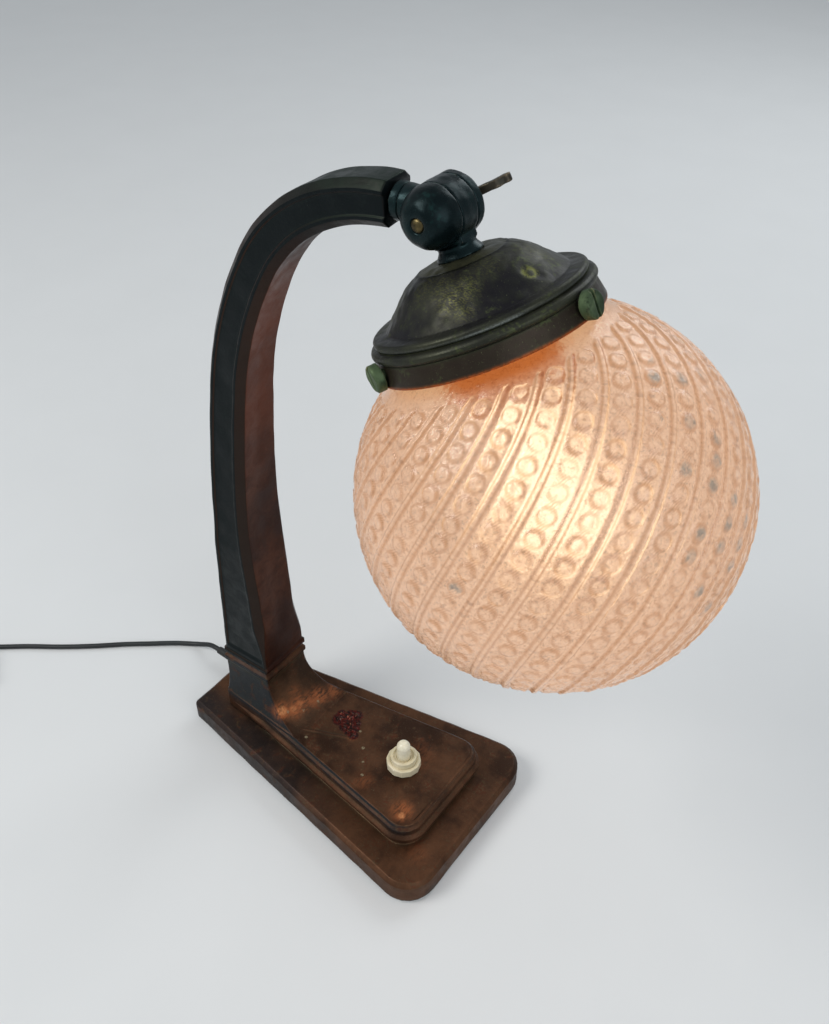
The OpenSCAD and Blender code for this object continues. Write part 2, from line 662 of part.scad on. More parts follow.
// Domed cheek, flat cheek and the root that joins them
module knuckle_fork() color("darkslategray") difference() {
    union() {
        at_knuckle() rotate([90, 0, 0]) rotate_extrude() polygon(concat(
            [[0, slot_half], [knuckle_r, slot_half]],
            [for (i = [0:10])
                let (a = 9 * i)
                [dome_flat_r + (knuckle_r - dome_flat_r) * cos(a),
                slot_half + rim_band + (dome_h - rim_band) * sin(a)]],
            [[0, slot_half + dome_h]]));
        at_knuckle() rotate([-90, 0, 0]) rotate_extrude() polygon([[0, slot_half], [knuckle_r, slot_half],
            [knuckle_r, slot_half + cheek_t - 1.2], [knuckle_r - 1.2, slot_half + cheek_t],
            [0, slot_half + cheek_t]]);
        at_arm_side() translate([-slot_r - root_len, 0, 0]) rotate([0, 90, 0])
            cylinder(r = root_r, h = root_len + slot_r - 3);
    }
    at_knuckle() rotate([90, 0, 0]) {
        cylinder(r = slot_r, h = 2 * slot_half, center = true);
        cylinder(d = bolt_d, h = 60, center = true);
        translate([0, 0, slot_half + dome_h - 1]) cylinder(r = bolt_d / 2 + 0.6, h = 2);
    }
    at_arm_side() translate([-slot_r - root_len - 1, 0, 0]) rotate([0, 90, 0]) {
        cylinder(r = nipple_spigot_r, h = spigot_len + 1);
        cylinder(r = nipple_bore_r, h = root_len + 2);
    }
}

cheek_y = slot_half + cheek_t;
washer_t = 1;
hub_y = cheek_y + washer_t + 0.1;
hub_h = 6.4;
bolt_end_y = hub_y + hub_h + 1;

// Hinge bolt with a domed end in the cheek's hollow
module hinge_bolt() color("goldenrod") at_knuckle() {
    rotate([90, 0, 0]) translate([0, 0, -bolt_end_y])
        cylinder(d = bolt_d, h = bolt_end_y + slot_half + dome_h - 0.5);
    translate([0, -slot_half - dome_h + 0.9, 0]) rotate([90, 0, 0]) rotate_extrude()
        polygon(concat([[0, 0]], [for (i = [0:6]) [(bolt_d / 2 + 0.45) * cos(15 * i), 1.3 * sin(15 * i)]]));
}

module spring_washer() color("silver") at_knuckle() translate([0, cheek_y + washer_t, 0])
    rotate([90, 0, 0]) rotate([0, 0, 20]) rotate_extrude(angle = 345)
    translate([bolt_d / 2 + 0.2, 0]) square([2.6, washer_t]);

// Hub with two wings that flare away from the cheek
module wing_nut() color("peru") at_knuckle() difference() {
    union() {
        translate([0, hub_y, 0]) rotate([-90, 0, 0]) cylinder(r1 = 5, r2 = 3.6, h = hub_h);
        for (s = [0, 180])
            rotate([0, s - wing_turn, 0]) linear_extrude(wing_t, center = true) {
                polygon([[2.8, hub_y + 0.6], [4.6, hub_y + 0.8], [wing_r - 3, hub_y + 4.2],
                    [wing_r, hub_y + 8.6], [wing_r - 4.2, hub_y + 9.2], [5.4, hub_y + 5.6],
                    [2.8, hub_y + 5.2]]);
                translate([wing_r - 2.1, hub_y + 8.6]) circle(r = 2.1);
            }
    }
    rotate([90, 0, 0]) cylinder(r = bolt_d / 2 + run_gap, h = 80, center = true);
}

neck_r1 = 6.5;
neck_r2 = 8;
neck_top = knuckle_r + 0.5;
crown_z = -rim_drop + gallery_h;
spigot_end = crown_z - 10.8;
wire_bore_r = 2.8;
groove_in = 6;
groove_half = 2;
groove_from = 150;

// Barrel, neck and threaded spigot that carry the gallery and the lampholder
module knuckle_head() color("slategray") at_head() difference() {
    union() {
        rotate([90, 0, 0]) cylinder(r = knuckle_r, h = barrel_w, center = true);
        translate([-6.2, -barrel_w / 2, -neck_top - 0.2]) cube([12.4, barrel_w, neck_top + 0.2]);
        rotate_extrude() polygon([[0, spigot_end], [tube_d / 2, spigot_end], [tube_d / 2, crown_z],
            [neck_r2, crown_z], [neck_r2, crown_z + 0.8], [neck_r1, -neck_top - 1],
            [neck_r1, -neck_top], [0, -neck_top]]);
    }
    rotate([90, 0, 0]) cylinder(r = bolt_d / 2 + run_gap, h = barrel_w + 2, center = true);
    translate([0, 0, spigot_end - 1]) cylinder(r = wire_bore_r, h = -spigot_end - groove_in);
    // Way for the wires, round the bolt's hole and down into the neck
    rotate([90, 0, 0]) rotate([0, 0, groove_from]) rotate_extrude(angle = 270 - groove_from)
        translate([groove_in, -groove_half]) square([knuckle_r, 2 * groove_half]);
}

// Gallery

wall = gallery_wall;
bead_r1 = 1.6;
bead_r2 = 1.3;
bead_t1 = 8.9;
bead_t2 = 12.2;
skirt_top = 7;
step_t = 14;
flank_r = gallery_r - 7.8;
dome_r = 22;
crown_r = 8.4;
dome_t = gallery_h - dome_r;

// Outline of the gallery from its rim to its crown, as radius and height above the rim
gallery_outer = concat(
    [[gallery_r, 0], [gallery_r, 0.8], [gallery_r - 1.4, skirt_top]],
    [for (i = [0:6]) [gallery_r - 2 + bead_r1 * cos(30 * i - 90), bead_t1 + bead_r1 * sin(30 * i - 90)]],
    [for (i = [0:6]) [gallery_r - 3.7 + bead_r2 * cos(30 * i - 90), bead_t2 + bead_r2 * sin(30 * i - 90)]],
    [[flank_r + 1, step_t - 0.3], [flank_r, step_t]],
    [for (i = [0:9]) [crown_r + dome_r * cos(45 + 5 * i), dome_t + dome_r * sin(45 + 5 * i)]]);
gallery_inner = concat(
    [[tube_d / 2 + 0.2, gallery_h - wall]],
    [for (i = [9:-1:0]) [crown_r + (dome_r - wall) * cos(45 + 5 * i),
        dome_t + (dome_r - wall) * sin(45 + 5 * i)]],
    [[flank_r - 1.2, step_t - wall], [gallery_r - 5.2, step_t - wall], [gallery_r - 3.4, bead_t1 + 1.5],
    [gallery_r - 3.3, skirt_top], [gallery_r - wall - 0.2, 0]]);

screw_turns = [0, 120, 240];

module at_rim() at_head() translate([0, 0, -rim_drop]) children();

neck_r = gallery_r - neck_gap;
lip_r = gallery_r - lip_gap;

module gallery() color("darkolivegreen") at_rim() difference() {
    rotate_extrude($fn = 96) polygon(concat(gallery_outer, [[tube_d / 2 + 0.2, gallery_h]], gallery_inner));
    for (a = screw_turns)
        rotate([0, 0, a]) translate([gallery_r - 8, 0, screw_h]) rotate([0, 90, 0])
            cylinder(r = screw_d / 2 + run_gap, h = 12);
}

gallery_nut_t = 2.8;
module gallery_nut() color("silver") at_head() translate([0, 0, crown_z - wall - gallery_nut_t])
    difference() {
        cylinder(r = neck_r2 + 0.6, h = gallery_nut_t, $fn = 6);
        translate([0, 0, -1]) cylinder(d = tube_d, h = gallery_nut_t + 2);
    }

// Slotted screw through the gallery's skirt, under the lip of the globe
module gallery_screw(turn) color("olivedrab") at_rim() rotate([0, 0, turn])
    translate([0, 0, screw_h]) rotate([0, 90, 0]) difference() {
        union() {
            translate([0, 0, neck_r + seat]) cylinder(d = screw_d, h = gallery_r - neck_r + 0.5);
            translate([0, 0, gallery_r + 0.2]) cylinder(d = screw_head_d, h = screw_head_t - 0.6);
            translate([0, 0, gallery_r + screw_head_t - 0.4])
                cylinder(d1 = screw_head_d, d2 = screw_head_d - 1.4, h = 0.6);
        }
        translate([-screw_head_d, -0.6, gallery_r + screw_head_t - 1]) cube([2 * screw_head_d, 1.2, 3]);
    }

// Globe

neck_foot_r = lip_r + 0.4;
neck_foot_t = -shoulder_gap;
globe_c = neck_foot_t - sqrt(globe_r * globe_r - neck_foot_r * neck_foot_r);
lip_top = screw_h + 5.6;

// Turns from the neck's pole, in degrees: the ribs start below a smooth band and end short of the bottom
shoulder_turn = acos((neck_foot_t - globe_c) / globe_r);
rib_first = 36;
rib_last = 166;
bottom_turn = 177;
rib_steps = 16;
rib_at = -46.5 - rib_twist * (shoulder_turn - 60);
band_r = globe_r - rib_h * 0.65;
valley_r = globe_r - rib_h;
// Places across one rib, as a share of the way to the next, and their share of the rib's height
rib_section = [[0, 1], [0.12, 0], [0.5, 0], [0.88, 0]];
outer_turns = concat([bottom_turn, rib_last + 2],
    [for (i = [rib_steps:-1:0]) rib_first + i * (rib_last - rib_first) / rib_steps],
    [rib_first - 1, shoulder_turn]);

inner_r = globe_r - glass_t;
bore_r = neck_r - glass_t;
bore_turn = asin(bore_r / inner_r);
inner_steps = 10;
inner_turns = [for (i = [0:inner_steps]) bore_turn + i * (bottom_turn - bore_turn) / inner_steps];
// Radius and height above the rim, from the shoulder over the lip to the bore
neck_profile = [[neck_r, neck_foot_t + 1.8], [neck_r, screw_h + 2.1], [lip_r, screw_h + 2.8],
    [lip_r, lip_top - 0.5], [lip_r - 0.5, lip_top], [bore_r, lip_top]];

// Ring round the globe's axis: radius r, height t, the way that the ribs rise from there, and its turn
function globe_ring(r, t, rise = [0, 0], wound = 0) = [for (i = [0:rib_count - 1]) for (q = rib_section)
    let (a = rib_at + (i + q[0]) * 360 / rib_count - wound, place = [r, t] + rise * q[1])
    [place[0] * cos(a), place[0] * sin(a), place[1]]];

// Ring on a sphere round the globe's centre, with ribs h high
function ball_ring(r, turn, h = 0, wound = 0) =
    globe_ring(r * sin(turn), globe_c + r * cos(turn), h * [sin(turn), cos(turn)], wound);

// Ring of the outside
function outer_ring(turn) = let (wound = rib_twist * (turn - shoulder_turn))
    turn < rib_first ? ball_ring(band_r, turn, 0, wound)
    : ball_ring(valley_r, turn, turn > rib_last ? 0 : rib_h, wound);

// One skin: up the outside, over the lip and down the inside
module globe() color("moccasin", 0.6) at_rim() skin(concat(
    [for (turn = outer_turns) outer_ring(turn)],
    [for (q = neck_profile) globe_ring(q[0], q[1])],
    [for (turn = inner_turns) ball_ring(inner_r, turn)]));

// Lampholder

holder_top = crown_z - wall - gallery_nut_t - 0.2;
holder_joint = holder_top - 16;
holder_end = holder_top - holder_len;
cap_hub_r = 7;
plate_top = holder_joint + 3.5;
plate_t = 6;
plate_low = plate_top - plate_t;
step_r = holder_r - thin_wall;
// Gap between parts that are pushed together
fit_gap = 0.02;

module holder_cap() color("gray") at_head() rotate_extrude() polygon([
    [tube_d / 2 + fit_gap, holder_top], [12, holder_top], [holder_r - 1.6, holder_top - 2.6],
    [holder_r, holder_top - 6], [holder_r, holder_joint], [step_r, holder_joint],
    [step_r, holder_top - 6.4], [11.4, holder_top - thin_wall - 0.6],
    [cap_hub_r, holder_top - thin_wall - 0.6], [cap_hub_r, holder_top - 7],
    [tube_d / 2 + fit_gap, holder_top - 7]]);

module holder_shell() color("gray") at_head() rotate_extrude() polygon([
    [step_r - fit_gap, holder_joint + 5], [step_r - fit_gap, holder_joint], [holder_r, holder_joint],
    [holder_r, holder_end], [step_r, holder_end], [step_r, holder_joint - 2],
    [step_r - 1.2, holder_joint - 2], [step_r - 1.2, holder_joint + 5]]);

module holder_insulator() color("white") at_head() difference() {
    translate([0, 0, plate_low]) cylinder(r = step_r - 1.2 - fit_gap, h = plate_t);
    translate([0, 0, plate_low - 1]) cylinder(r = 2, h = plate_t + 2);
}

module holder_thread() color("goldenrod") at_head() translate([0, 0, holder_end + 2]) difference() {
    cylinder(r = cap_r + run_gap + 0.6, h = plate_low - holder_end - 2);
    translate([0, 0, -1]) cylinder(r = cap_r + run_gap, h = plate_low - holder_end);
}

contact_t = 1.2;
module holder_contact() color("goldenrod") at_head() {
    translate([0, 0, plate_low - contact_t]) cylinder(r = 4, h = contact_t);
    translate([0, 0, plate_low]) cylinder(r = 2, h = plate_t + 1);
}

// Wires round the bolt in the barrel's groove, down the neck and to the two terminals
module holder_wires() color("firebrick") at_head() for (s = [-1, 1])
    wire(concat([for (a = [165:15:225]) [8 * cos(a), s * wire_y, 8 * sin(a)]],
        [[-1.5, s * wire_y, -9.4], [0, s * wire_y, -12.4], [0, s * wire_y, spigot_end - 2],
        [s * 3, s * 3.2, plate_top + 2.5], [s * 5, s * 5, plate_top + wire_r]]));

// Bulb

bulb_base = plate_low - contact_t - 0.1;
bulb_tip = bulb_base - bulb_len;
bulb_c = bulb_tip + bulb_r;
cap_len = 24;
bulb_glass_t = 0.8;
cap_in_r = cap_r - 0.55;

module bulb_shape(inset) rotate_extrude() polygon(concat(
    [for (i = [0:14]) [(bulb_r - inset) * sin(9.5 * i), bulb_c - (bulb_r - inset) * cos(9.5 * i)]],
    [[cap_r + 1 - inset, bulb_c + bulb_r * 1.3], [cap_in_r - inset, bulb_base - cap_len - 0.2],
    [cap_in_r - inset, bulb_base - cap_len + 6], [0, bulb_base - cap_len + 6]]));

module bulb_glass() color("white", 0.5) at_head() difference() {
    bulb_shape(0);
    translate([0, 0, -0.8]) bulb_shape(bulb_glass_t);
}

module bulb_cap() color("silver") at_head() rotate_extrude() polygon([
    [0, bulb_base], [4.8, bulb_base], [5.4, bulb_base - 1.4], [cap_r - 3, bulb_base - 3],
    [cap_r, bulb_base - 4.6], [cap_r, bulb_base - cap_len], [cap_r - 0.5, bulb_base - cap_len],
    [cap_r - 0.5, bulb_base - cap_len + 6.1], [0, bulb_base - cap_len + 6.1]]);

// Glass stem, two supports and the arc of the filament
filament_r = 8;
module bulb_filament() color("silver") at_head() {
    stem_z = bulb_base - cap_len + 5.2;
    support_lean = atan((filament_r - 1.2) / (stem_z - 33 - bulb_c));
    translate([0, 0, stem_z - 34]) cylinder(r1 = 2.4, r2 = 5, h = 34);
    for (s = [-1, 1])
        translate([s * filament_r, 0, bulb_c]) rotate([0, -s * support_lean, 0])
            cylinder(r = 0.4, h = (stem_z - 33 - bulb_c) / cos(support_lean), $fn = 16);
    translate([0, 0, bulb_c]) rotate([90, 0, 0]) rotate([0, 0, 180]) rotate_extrude(angle = 180)
        translate([filament_r, 0]) circle(r = 0.6, $fn = 16);
}

// Cord on the table

cord_r = cord_d / 2;
lay_z = cord_r + 0.05;
tie_t = 0.8;
coil_z = cord_r + tie_t + 0.1;
coil_c = [-222, -92];
coil_from = 129.7;
coil_layers = 4;
coil_out_r = coil_in_r + coil_pitch * coil_turns;
all_turns = coil_layers * coil_turns;

// Height of the coil after t turns: it climbs in the half turn at each reversal
function climbed(t) = [for (k = [1:coil_layers - 1])
    (1 - cos(180 * max(0, min(1, (t - k * coil_turns) * 2 + 0.5)))) / 2] * [1, 1, 1];

// Spirals in and out again, layer by layer
function coil_at(t) =
    let (k = min(coil_layers - 1, floor(t / coil_turns)), f = t - k * coil_turns)
    let (r = k % 2 == 0 ? coil_out_r - coil_pitch * f : coil_in_r + coil_pitch * f)
    let (a = coil_from + 360 * t)
    [coil_c[0] + r * cos(a), coil_c[1] + r * sin(a), coil_z + coil_pitch * climbed(t)];

coil_steps = 24;
coil_n = floor(all_turns * coil_steps);
coil_ring = [for (i = [0:coil_n]) coil_at(all_turns * i / coil_n)];
coil_in_dir = unit(coil_ring[1] - coil_ring[0]);
coil_out_dir = unit(coil_ring[coil_n] - coil_ring[coil_n - 1]);
coil_first = coil_ring[0] - cord_d * coil_in_dir;
coil_last = coil_ring[coil_n] + cord_d * coil_out_dir;

module cord_coil() color("darkolivegreen") {
    gaps = [for (i = [0:2:coil_n - 19]) min([for (j = [i + 18:coil_n])
        norm(coil_ring[i] - coil_ring[j])])];
    echo(least_gap_in_coil = min(gaps) - cord_d);
    tube(concat([coil_first], coil_ring, [coil_last]), cord_r, 6, coil_in_dir, coil_out_dir);
}

// Hand-chosen points of the lead, from the bush to the coil
lead_points = [[-107, 14.2, 6.9], [-112, 14.4, 5.6], [-118, 13.6, 3], [-124, 11.4, 1.6],
    [-133, 5.6, 1.5], [-144, -3, 1.5], [-156, -12.4, 1.5], [-169, -23.6, 1.5], [-184, -35.4, 1.5],
    [-200, -46.6, 1.5], [-214, -57.4, 1.5], [-224, -65.6, 1.8]];
// Points of the tail, from the coil to the plug
tail_points = [[-221, -117.3, 11.8], [-213, -121, 9.4]];
plug_at = [-205.4, -124.6];
plug_turn = -25;
plug_w = 32;
plug_t = 16;
plug_z = plug_t / 2 + 0.1;

module cord_lead() color("darkolivegreen") tube(curve(concat([[bush_end_x, outlet_y, outlet_z]],
    lead_points, [coil_first]), 3), cord_r, 8, [-1, 0, 0], coil_in_dir);

plug_dir = [cos(plug_turn), sin(plug_turn), 0];
module cord_tail() color("darkolivegreen") tube(curve(concat([coil_last], tail_points,
    [[plug_at[0], plug_at[1], plug_z]]), 5), cord_r, 8, coil_out_dir, plug_dir);

// Strap round the turns at one place
tie_w = 5;
tie_turn = 20;
tie_in = coil_in_r - cord_r - 0.5;
tie_out = coil_out_r + cord_r + 0.2;
tie_top = coil_z + (coil_layers - 1) * coil_pitch + cord_r + 0.1;
module cord_tie() color("black") translate([coil_c[0], coil_c[1], 0]) rotate([0, 0, tie_turn])
    difference() {
        translate([tie_in - tie_t, -tie_w / 2, 0])
            cube([tie_out - tie_in + 2 * tie_t, tie_w, tie_top + tie_t]);
        translate([tie_in, -tie_w, tie_t]) cube([tie_out - tie_in, 2 * tie_w, tie_top - tie_t]);
    }

// Plug

function plug_ring(x, w, h, r) = [for (p = concat(corner([-w, h] / 2, [-w, -h] / 2, [w, -h] / 2, r, 3),
    corner([-w, -h] / 2, [w, -h] / 2, [w, h] / 2, r, 3), corner([w, -h] / 2, [w, h] / 2, [-w, h] / 2, r, 3),
    corner([w, h] / 2, [-w, h] / 2, [-w, -h] / 2, r, 3))) [x, p[0], p[1]]];

module at_plug() translate([plug_at[0], plug_at[1], plug_z]) rotate([0, 0, plug_turn]) children();

pin_d = 4;
pin_len = 19;
pin_in = 12;
module plug_body() color("saddlebrown") at_plug() difference() {
    skin([plug_ring(0, 7, 7, 3), plug_ring(5, 9, 9, 3.6), plug_ring(12, plug_w * 0.8, plug_t - 2, 5),
        plug_ring(18, plug_w, plug_t, 5), plug_ring(plug_len - 2, plug_w, plug_t, 5),
        plug_ring(plug_len, plug_w - 3, plug_t - 3, 4)]);
    for (s = [-1, 1])
        translate([plug_len - pin_in, s * pin_gap / 2, 0]) rotate([0, 90, 0])
            cylinder(d = pin_d, h = pin_in + 1);
    translate([plug_len - 10, 0, 2]) cylinder(d = 3, h = plug_t);
}

module plug_pins() color("goldenrod") at_plug() for (s = [-1, 1])
    translate([plug_len - pin_in, s * pin_gap / 2, 0]) rotate([0, 90, 0]) {
        cylinder(d = pin_d, h = pin_in + pin_len - 1);
        translate([0, 0, pin_in + pin_len - 1]) cylinder(d1 = pin_d, d2 = pin_d - 1.6, h = 1);
    }

module plug_screw() color("silver") at_plug() translate([plug_len - 10, 0, 2]) {
    cylinder(d = 3, h = plug_t / 2 - 2);
    translate([0, 0, plug_t / 2 - 2]) difference() {
        cylinder(d = 5.4, h = 0.8);
        translate([-3, -0.4, 0.4]) cube([6, 0.8, 1]);
    }
}

base_casting();
base_felt();
base_cover();
cover_screws();
cord_bush();
cord_clamp();
clamp_screws();
lead_inside();
switch_wires();
switch_body();
switch_terminals();
switch_spring();
switch_nut();
switch_button();
arm_tube();
arm_nut();
arm_casting();
arm_wires();
arm_nipple();
knuckle_fork();
hinge_bolt();
spring_washer();
wing_nut();
knuckle_head();
gallery();
gallery_nut();
gallery_screw(screw_turns[0]);  // gallery_screw_front
gallery_screw(screw_turns[2]);  // gallery_screw_left
gallery_screw(screw_turns[1]);  // gallery_screw_right
globe();
holder_cap();
holder_shell();
holder_insulator();
holder_thread();
holder_contact();
holder_wires();
bulb_glass();
bulb_cap();
bulb_filament();
cord_lead();
cord_coil();
cord_tail();
cord_tie();
plug_body();
plug_pins();
plug_screw();
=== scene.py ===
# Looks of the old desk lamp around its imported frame: cast bronze, pressed glass, cord, light and camera.
# Lengths in the tables below are millimetres in the part's own frame; meshes are made in metres.
import json
import math

import bpy
import numpy as np
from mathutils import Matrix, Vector


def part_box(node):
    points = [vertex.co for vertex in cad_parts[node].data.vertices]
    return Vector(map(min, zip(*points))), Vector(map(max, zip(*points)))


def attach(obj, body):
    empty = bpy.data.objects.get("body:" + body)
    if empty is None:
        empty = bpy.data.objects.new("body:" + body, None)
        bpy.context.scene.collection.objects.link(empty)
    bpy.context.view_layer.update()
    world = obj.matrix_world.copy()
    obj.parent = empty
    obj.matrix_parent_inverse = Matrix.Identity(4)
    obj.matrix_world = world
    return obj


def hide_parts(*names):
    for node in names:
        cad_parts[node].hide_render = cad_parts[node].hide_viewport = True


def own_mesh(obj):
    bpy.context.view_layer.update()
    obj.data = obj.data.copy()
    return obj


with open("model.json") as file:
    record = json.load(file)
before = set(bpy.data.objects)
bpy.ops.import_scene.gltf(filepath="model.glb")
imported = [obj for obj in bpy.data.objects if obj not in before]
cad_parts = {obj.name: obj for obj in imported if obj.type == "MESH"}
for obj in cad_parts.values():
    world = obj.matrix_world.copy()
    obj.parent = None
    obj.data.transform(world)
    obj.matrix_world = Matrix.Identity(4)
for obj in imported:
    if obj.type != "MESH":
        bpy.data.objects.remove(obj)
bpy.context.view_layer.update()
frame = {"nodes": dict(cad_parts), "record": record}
MM = 0.001

# Driving sizes, as in the part
KNUCKLE = np.array([58.266, 0.0, 325.637])
HEAD_TILT = math.radians(27.5)
HEAD_AXIS = np.array([math.sin(HEAD_TILT), 0.0, -math.cos(HEAD_TILT)])
HEAD_SIDE = np.array([math.cos(HEAD_TILT), 0.0, math.sin(HEAD_TILT)])
ACROSS = np.array([0.0, 1.0, 0.0])
RIM_DROP = 43.7
GLOBE_DROP = 104.5
GLOBE_R = 70.0

PLATE = dict(back=-83.5, front=83.5, half_back=25.5, half_front=53.0)
PLINTH = dict(back=-66.0, front=65.0, half_back=12.0, half_front=32.0)
PLATE_H = 14.0
PLINTH_H = 27.0
FELT_T = 1.5
SEAM_H = 55.0
FOOT_X = -50.0
FOOT_DEPTH = 29.0
FOOT_W = 28.6
FOOT_FLARE = 1.6
SWEEP_R = 22.0
SEAM_PROFILE = [(0, -1.2), (1.8, 0.8), (3.8, 0.8), (4.6, 0)]


def unit(v):
    return v / np.linalg.norm(v)


def add_object(name, data):
    obj = bpy.data.objects.new(name, data)
    bpy.context.scene.collection.objects.link(obj)
    return obj


# Camera

CAMERA_TARGET = Vector((0.0467, 0.0, 0.1948))
CAMERA_AZIMUTH = math.radians(36.16)
CAMERA_ELEVATION = math.radians(39.91)
CAMERA_DISTANCE = 0.4367
FOCAL_PX = 1093.59
PHOTO_HEIGHT_PX = 1024
SENSOR_MM = 36.0


def add_camera():
    data = bpy.data.cameras.new("camera")
    data.sensor_width = SENSOR_MM
    data.lens = FOCAL_PX * SENSOR_MM / PHOTO_HEIGHT_PX
    data.clip_start = 0.01
    camera = add_object("camera", data)
    flat = math.cos(CAMERA_ELEVATION)
    back = Vector((math.sin(CAMERA_AZIMUTH) * flat, -math.cos(CAMERA_AZIMUTH) * flat,
                   math.sin(CAMERA_ELEVATION)))
    camera.location = CAMERA_TARGET + CAMERA_DISTANCE * back
    camera.rotation_euler = back.to_track_quat("Z", "Y").to_euler()
    bpy.context.scene.camera = camera


add_camera()


# Cord

CORD_D = 2.8
CORD_R = CORD_D / 2
BUSH_END = (-103.5, 14.0, 7.0)
LEAD_POINTS = [(-107, 14.2, 6.9), (-112, 14.4, 5.6), (-118, 13.6, 3), (-124, 11.4, 1.6),
               (-133, 5.6, 1.5), (-144, -3, 1.5), (-156, -12.4, 1.5), (-169, -23.6, 1.5),
               (-184, -35.4, 1.5), (-200, -46.6, 1.5), (-214, -57.4, 1.5), (-224, -65.6, 1.8)]
TAIL_POINTS = [(-221, -117.3, 11.8), (-213, -121, 9.4)]
PLUG_AT = (-205.4, -124.6, 8.1)
COIL_CENTRE = (-222.0, -92.0)
COIL_FROM = 129.7
COIL_LAYERS = 4
COIL_TURNS = 3.58
COIL_PITCH = 3.4
COIL_IN_R = 10.4
COIL_OUT_R = COIL_IN_R + COIL_PITCH * COIL_TURNS
COIL_Z = 2.3
COIL_STEPS = 24


def catmull_rom(points, steps):
    """Points of a smooth curve through the given points, steps to each span."""
    p = [np.array(q, float) for q in points]
    p = [2 * p[0] - p[1]] + p + [2 * p[-1] - p[-2]]
    out = []
    for a, b, c, d in zip(p, p[1:], p[2:], p[3:]):
        out += [0.5 * (2 * b + (c - a) * t + (2 * a - 5 * b + 4 * c - d) * t * t
                       + (3 * b - a - 3 * c + d) * t ** 3) for t in np.arange(steps) / steps]
    return out + [p[-2]]


def coil_point(t):
    """Place on the coil after t turns: it spirals in and out again, layer by layer."""
    layer = min(COIL_LAYERS - 1, int(t / COIL_TURNS))
    part = t - layer * COIL_TURNS
    r = COIL_OUT_R - COIL_PITCH * part if layer % 2 == 0 else COIL_IN_R + COIL_PITCH * part
    climb = sum((1 - math.cos(math.pi * max(0, min(1, (t - k * COIL_TURNS) * 2 + 0.5)))) / 2
                for k in range(1, COIL_LAYERS))
    a = math.radians(COIL_FROM + 360 * t)
    return np.array([COIL_CENTRE[0] + r * math.cos(a), COIL_CENTRE[1] + r * math.sin(a),
                     COIL_Z + COIL_PITCH * climb])


def cord_route():
    turns = COIL_LAYERS * COIL_TURNS
    count = int(turns * COIL_STEPS)
    coil = [coil_point(turns * i / count) for i in range(count + 1)]
    first = coil[0] - CORD_D * unit(coil[1] - coil[0])
    last = coil[-1] + CORD_D * unit(coil[-1] - coil[-2])
    lead = catmull_rom([BUSH_END] + LEAD_POINTS + [first], 4)
    tail = catmull_rom([last] + TAIL_POINTS + [PLUG_AT], 5)
    return lead + coil + tail


def add_cord():
    route = cord_route()
    length = sum(float(np.linalg.norm(b - a)) for a, b in zip(route, route[1:]))
    data = bpy.data.curves.new("cord", "CURVE")
    data.dimensions = "3D"
    # The box of a curve takes in each point's radius, so the thickness is in that
    data.bevel_depth = 1.0
    data.bevel_resolution = 4
    data.use_fill_caps = True
    spline = data.splines.new("POLY")
    spline.points.add(len(route) - 1)
    for point, place in zip(spline.points, route):
        point.co = (*(place * MM), 1)
        point.radius = CORD_R * MM
    spline.use_smooth = True
    cord = add_object("cord", data)
    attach(cord, "stand")
    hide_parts("cord_lead", "cord_coil", "cord_tail")
    return cord


cord = add_cord()


# Mesh helpers

def soft_step(x, low, high):
    t = np.clip((x - low) / (high - low), 0, 1)
    return t * t * (3 - 2 * t)


def bell(x, width):
    """Smooth bump, 1 high at zero and gone at about twice the width."""
    return np.exp(-(x / width) ** 2)


def covered(distance, spots):
    """How strongly round spots, which end in a radius and strength, cover each point."""
    return np.max([full * np.exp(-(distance(*place) / r) ** 3) for *place, r, full in spots], axis=0)


def waves(points, size, seed, count=26):
    """Smooth unevenness of about unit height whose bumps are about size apart."""
    rng = np.random.default_rng(seed)
    direction = rng.normal(size=(count, 3))
    direction /= np.linalg.norm(direction, axis=1, keepdims=True)
    turn = 2 * math.pi / size * rng.uniform(0.7, 1.4, count)
    phase = rng.uniform(0, 2 * math.pi, count)
    return np.cos(points @ (direction * turn[:, None]).T + phase).sum(axis=1) / math.sqrt(count / 2)


# Every dressed piece with the slot whose material it wears
pieces = [(cord, "cord")]


def place_piece(obj, body, slot, replaced):
    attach(obj, body)
    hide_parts(replaced)
    pieces.append((obj, slot))


def mesh_object(name, points, faces, body, slot, replaced):
    """A smooth-shaded mesh piece, from points in millimetres, riding on a body."""
    data = bpy.data.meshes.new(name)
    data.from_pydata((np.asarray(points, float) * MM).tolist(), [], faces)
    data.shade_smooth()
    obj = add_object(name, data)
    place_piece(obj, body, slot, replaced)
    return obj


def read(items, key, width, kind=float):
    """One value of every item, as rows of width numbers."""
    out = np.empty(len(items) * width, kind)
    items.foreach_get(key, out)
    return out.reshape(-1, width)


def points_of(obj):
    return read(obj.data.vertices, "co", 3) / MM


def normals_of(obj):
    return read(obj.data.vertex_normals, "vector", 3)


def set_points(obj, points):
    obj.data.vertices.foreach_set("co", (points * MM).ravel())
    obj.data.update()


def store(obj, **looks):
    """Keeps numbers at each point, which the materials read by name."""
    for name, values in looks.items():
        attribute = obj.data.attributes.new(name, "FLOAT", "POINT")
        attribute.data.foreach_set("value", np.asarray(values, float))


def spread(values, edges, rounds):
    """Average of each point's value with its neighbours', a few times over."""
    count = np.bincount(edges.ravel(), minlength=len(values)) + 1.0
    for _ in range(rounds):
        total = values.copy()
        for a, b in (edges.T, edges.T[::-1]):
            np.add.at(total, a, values[b])
        values = total / count
    return values


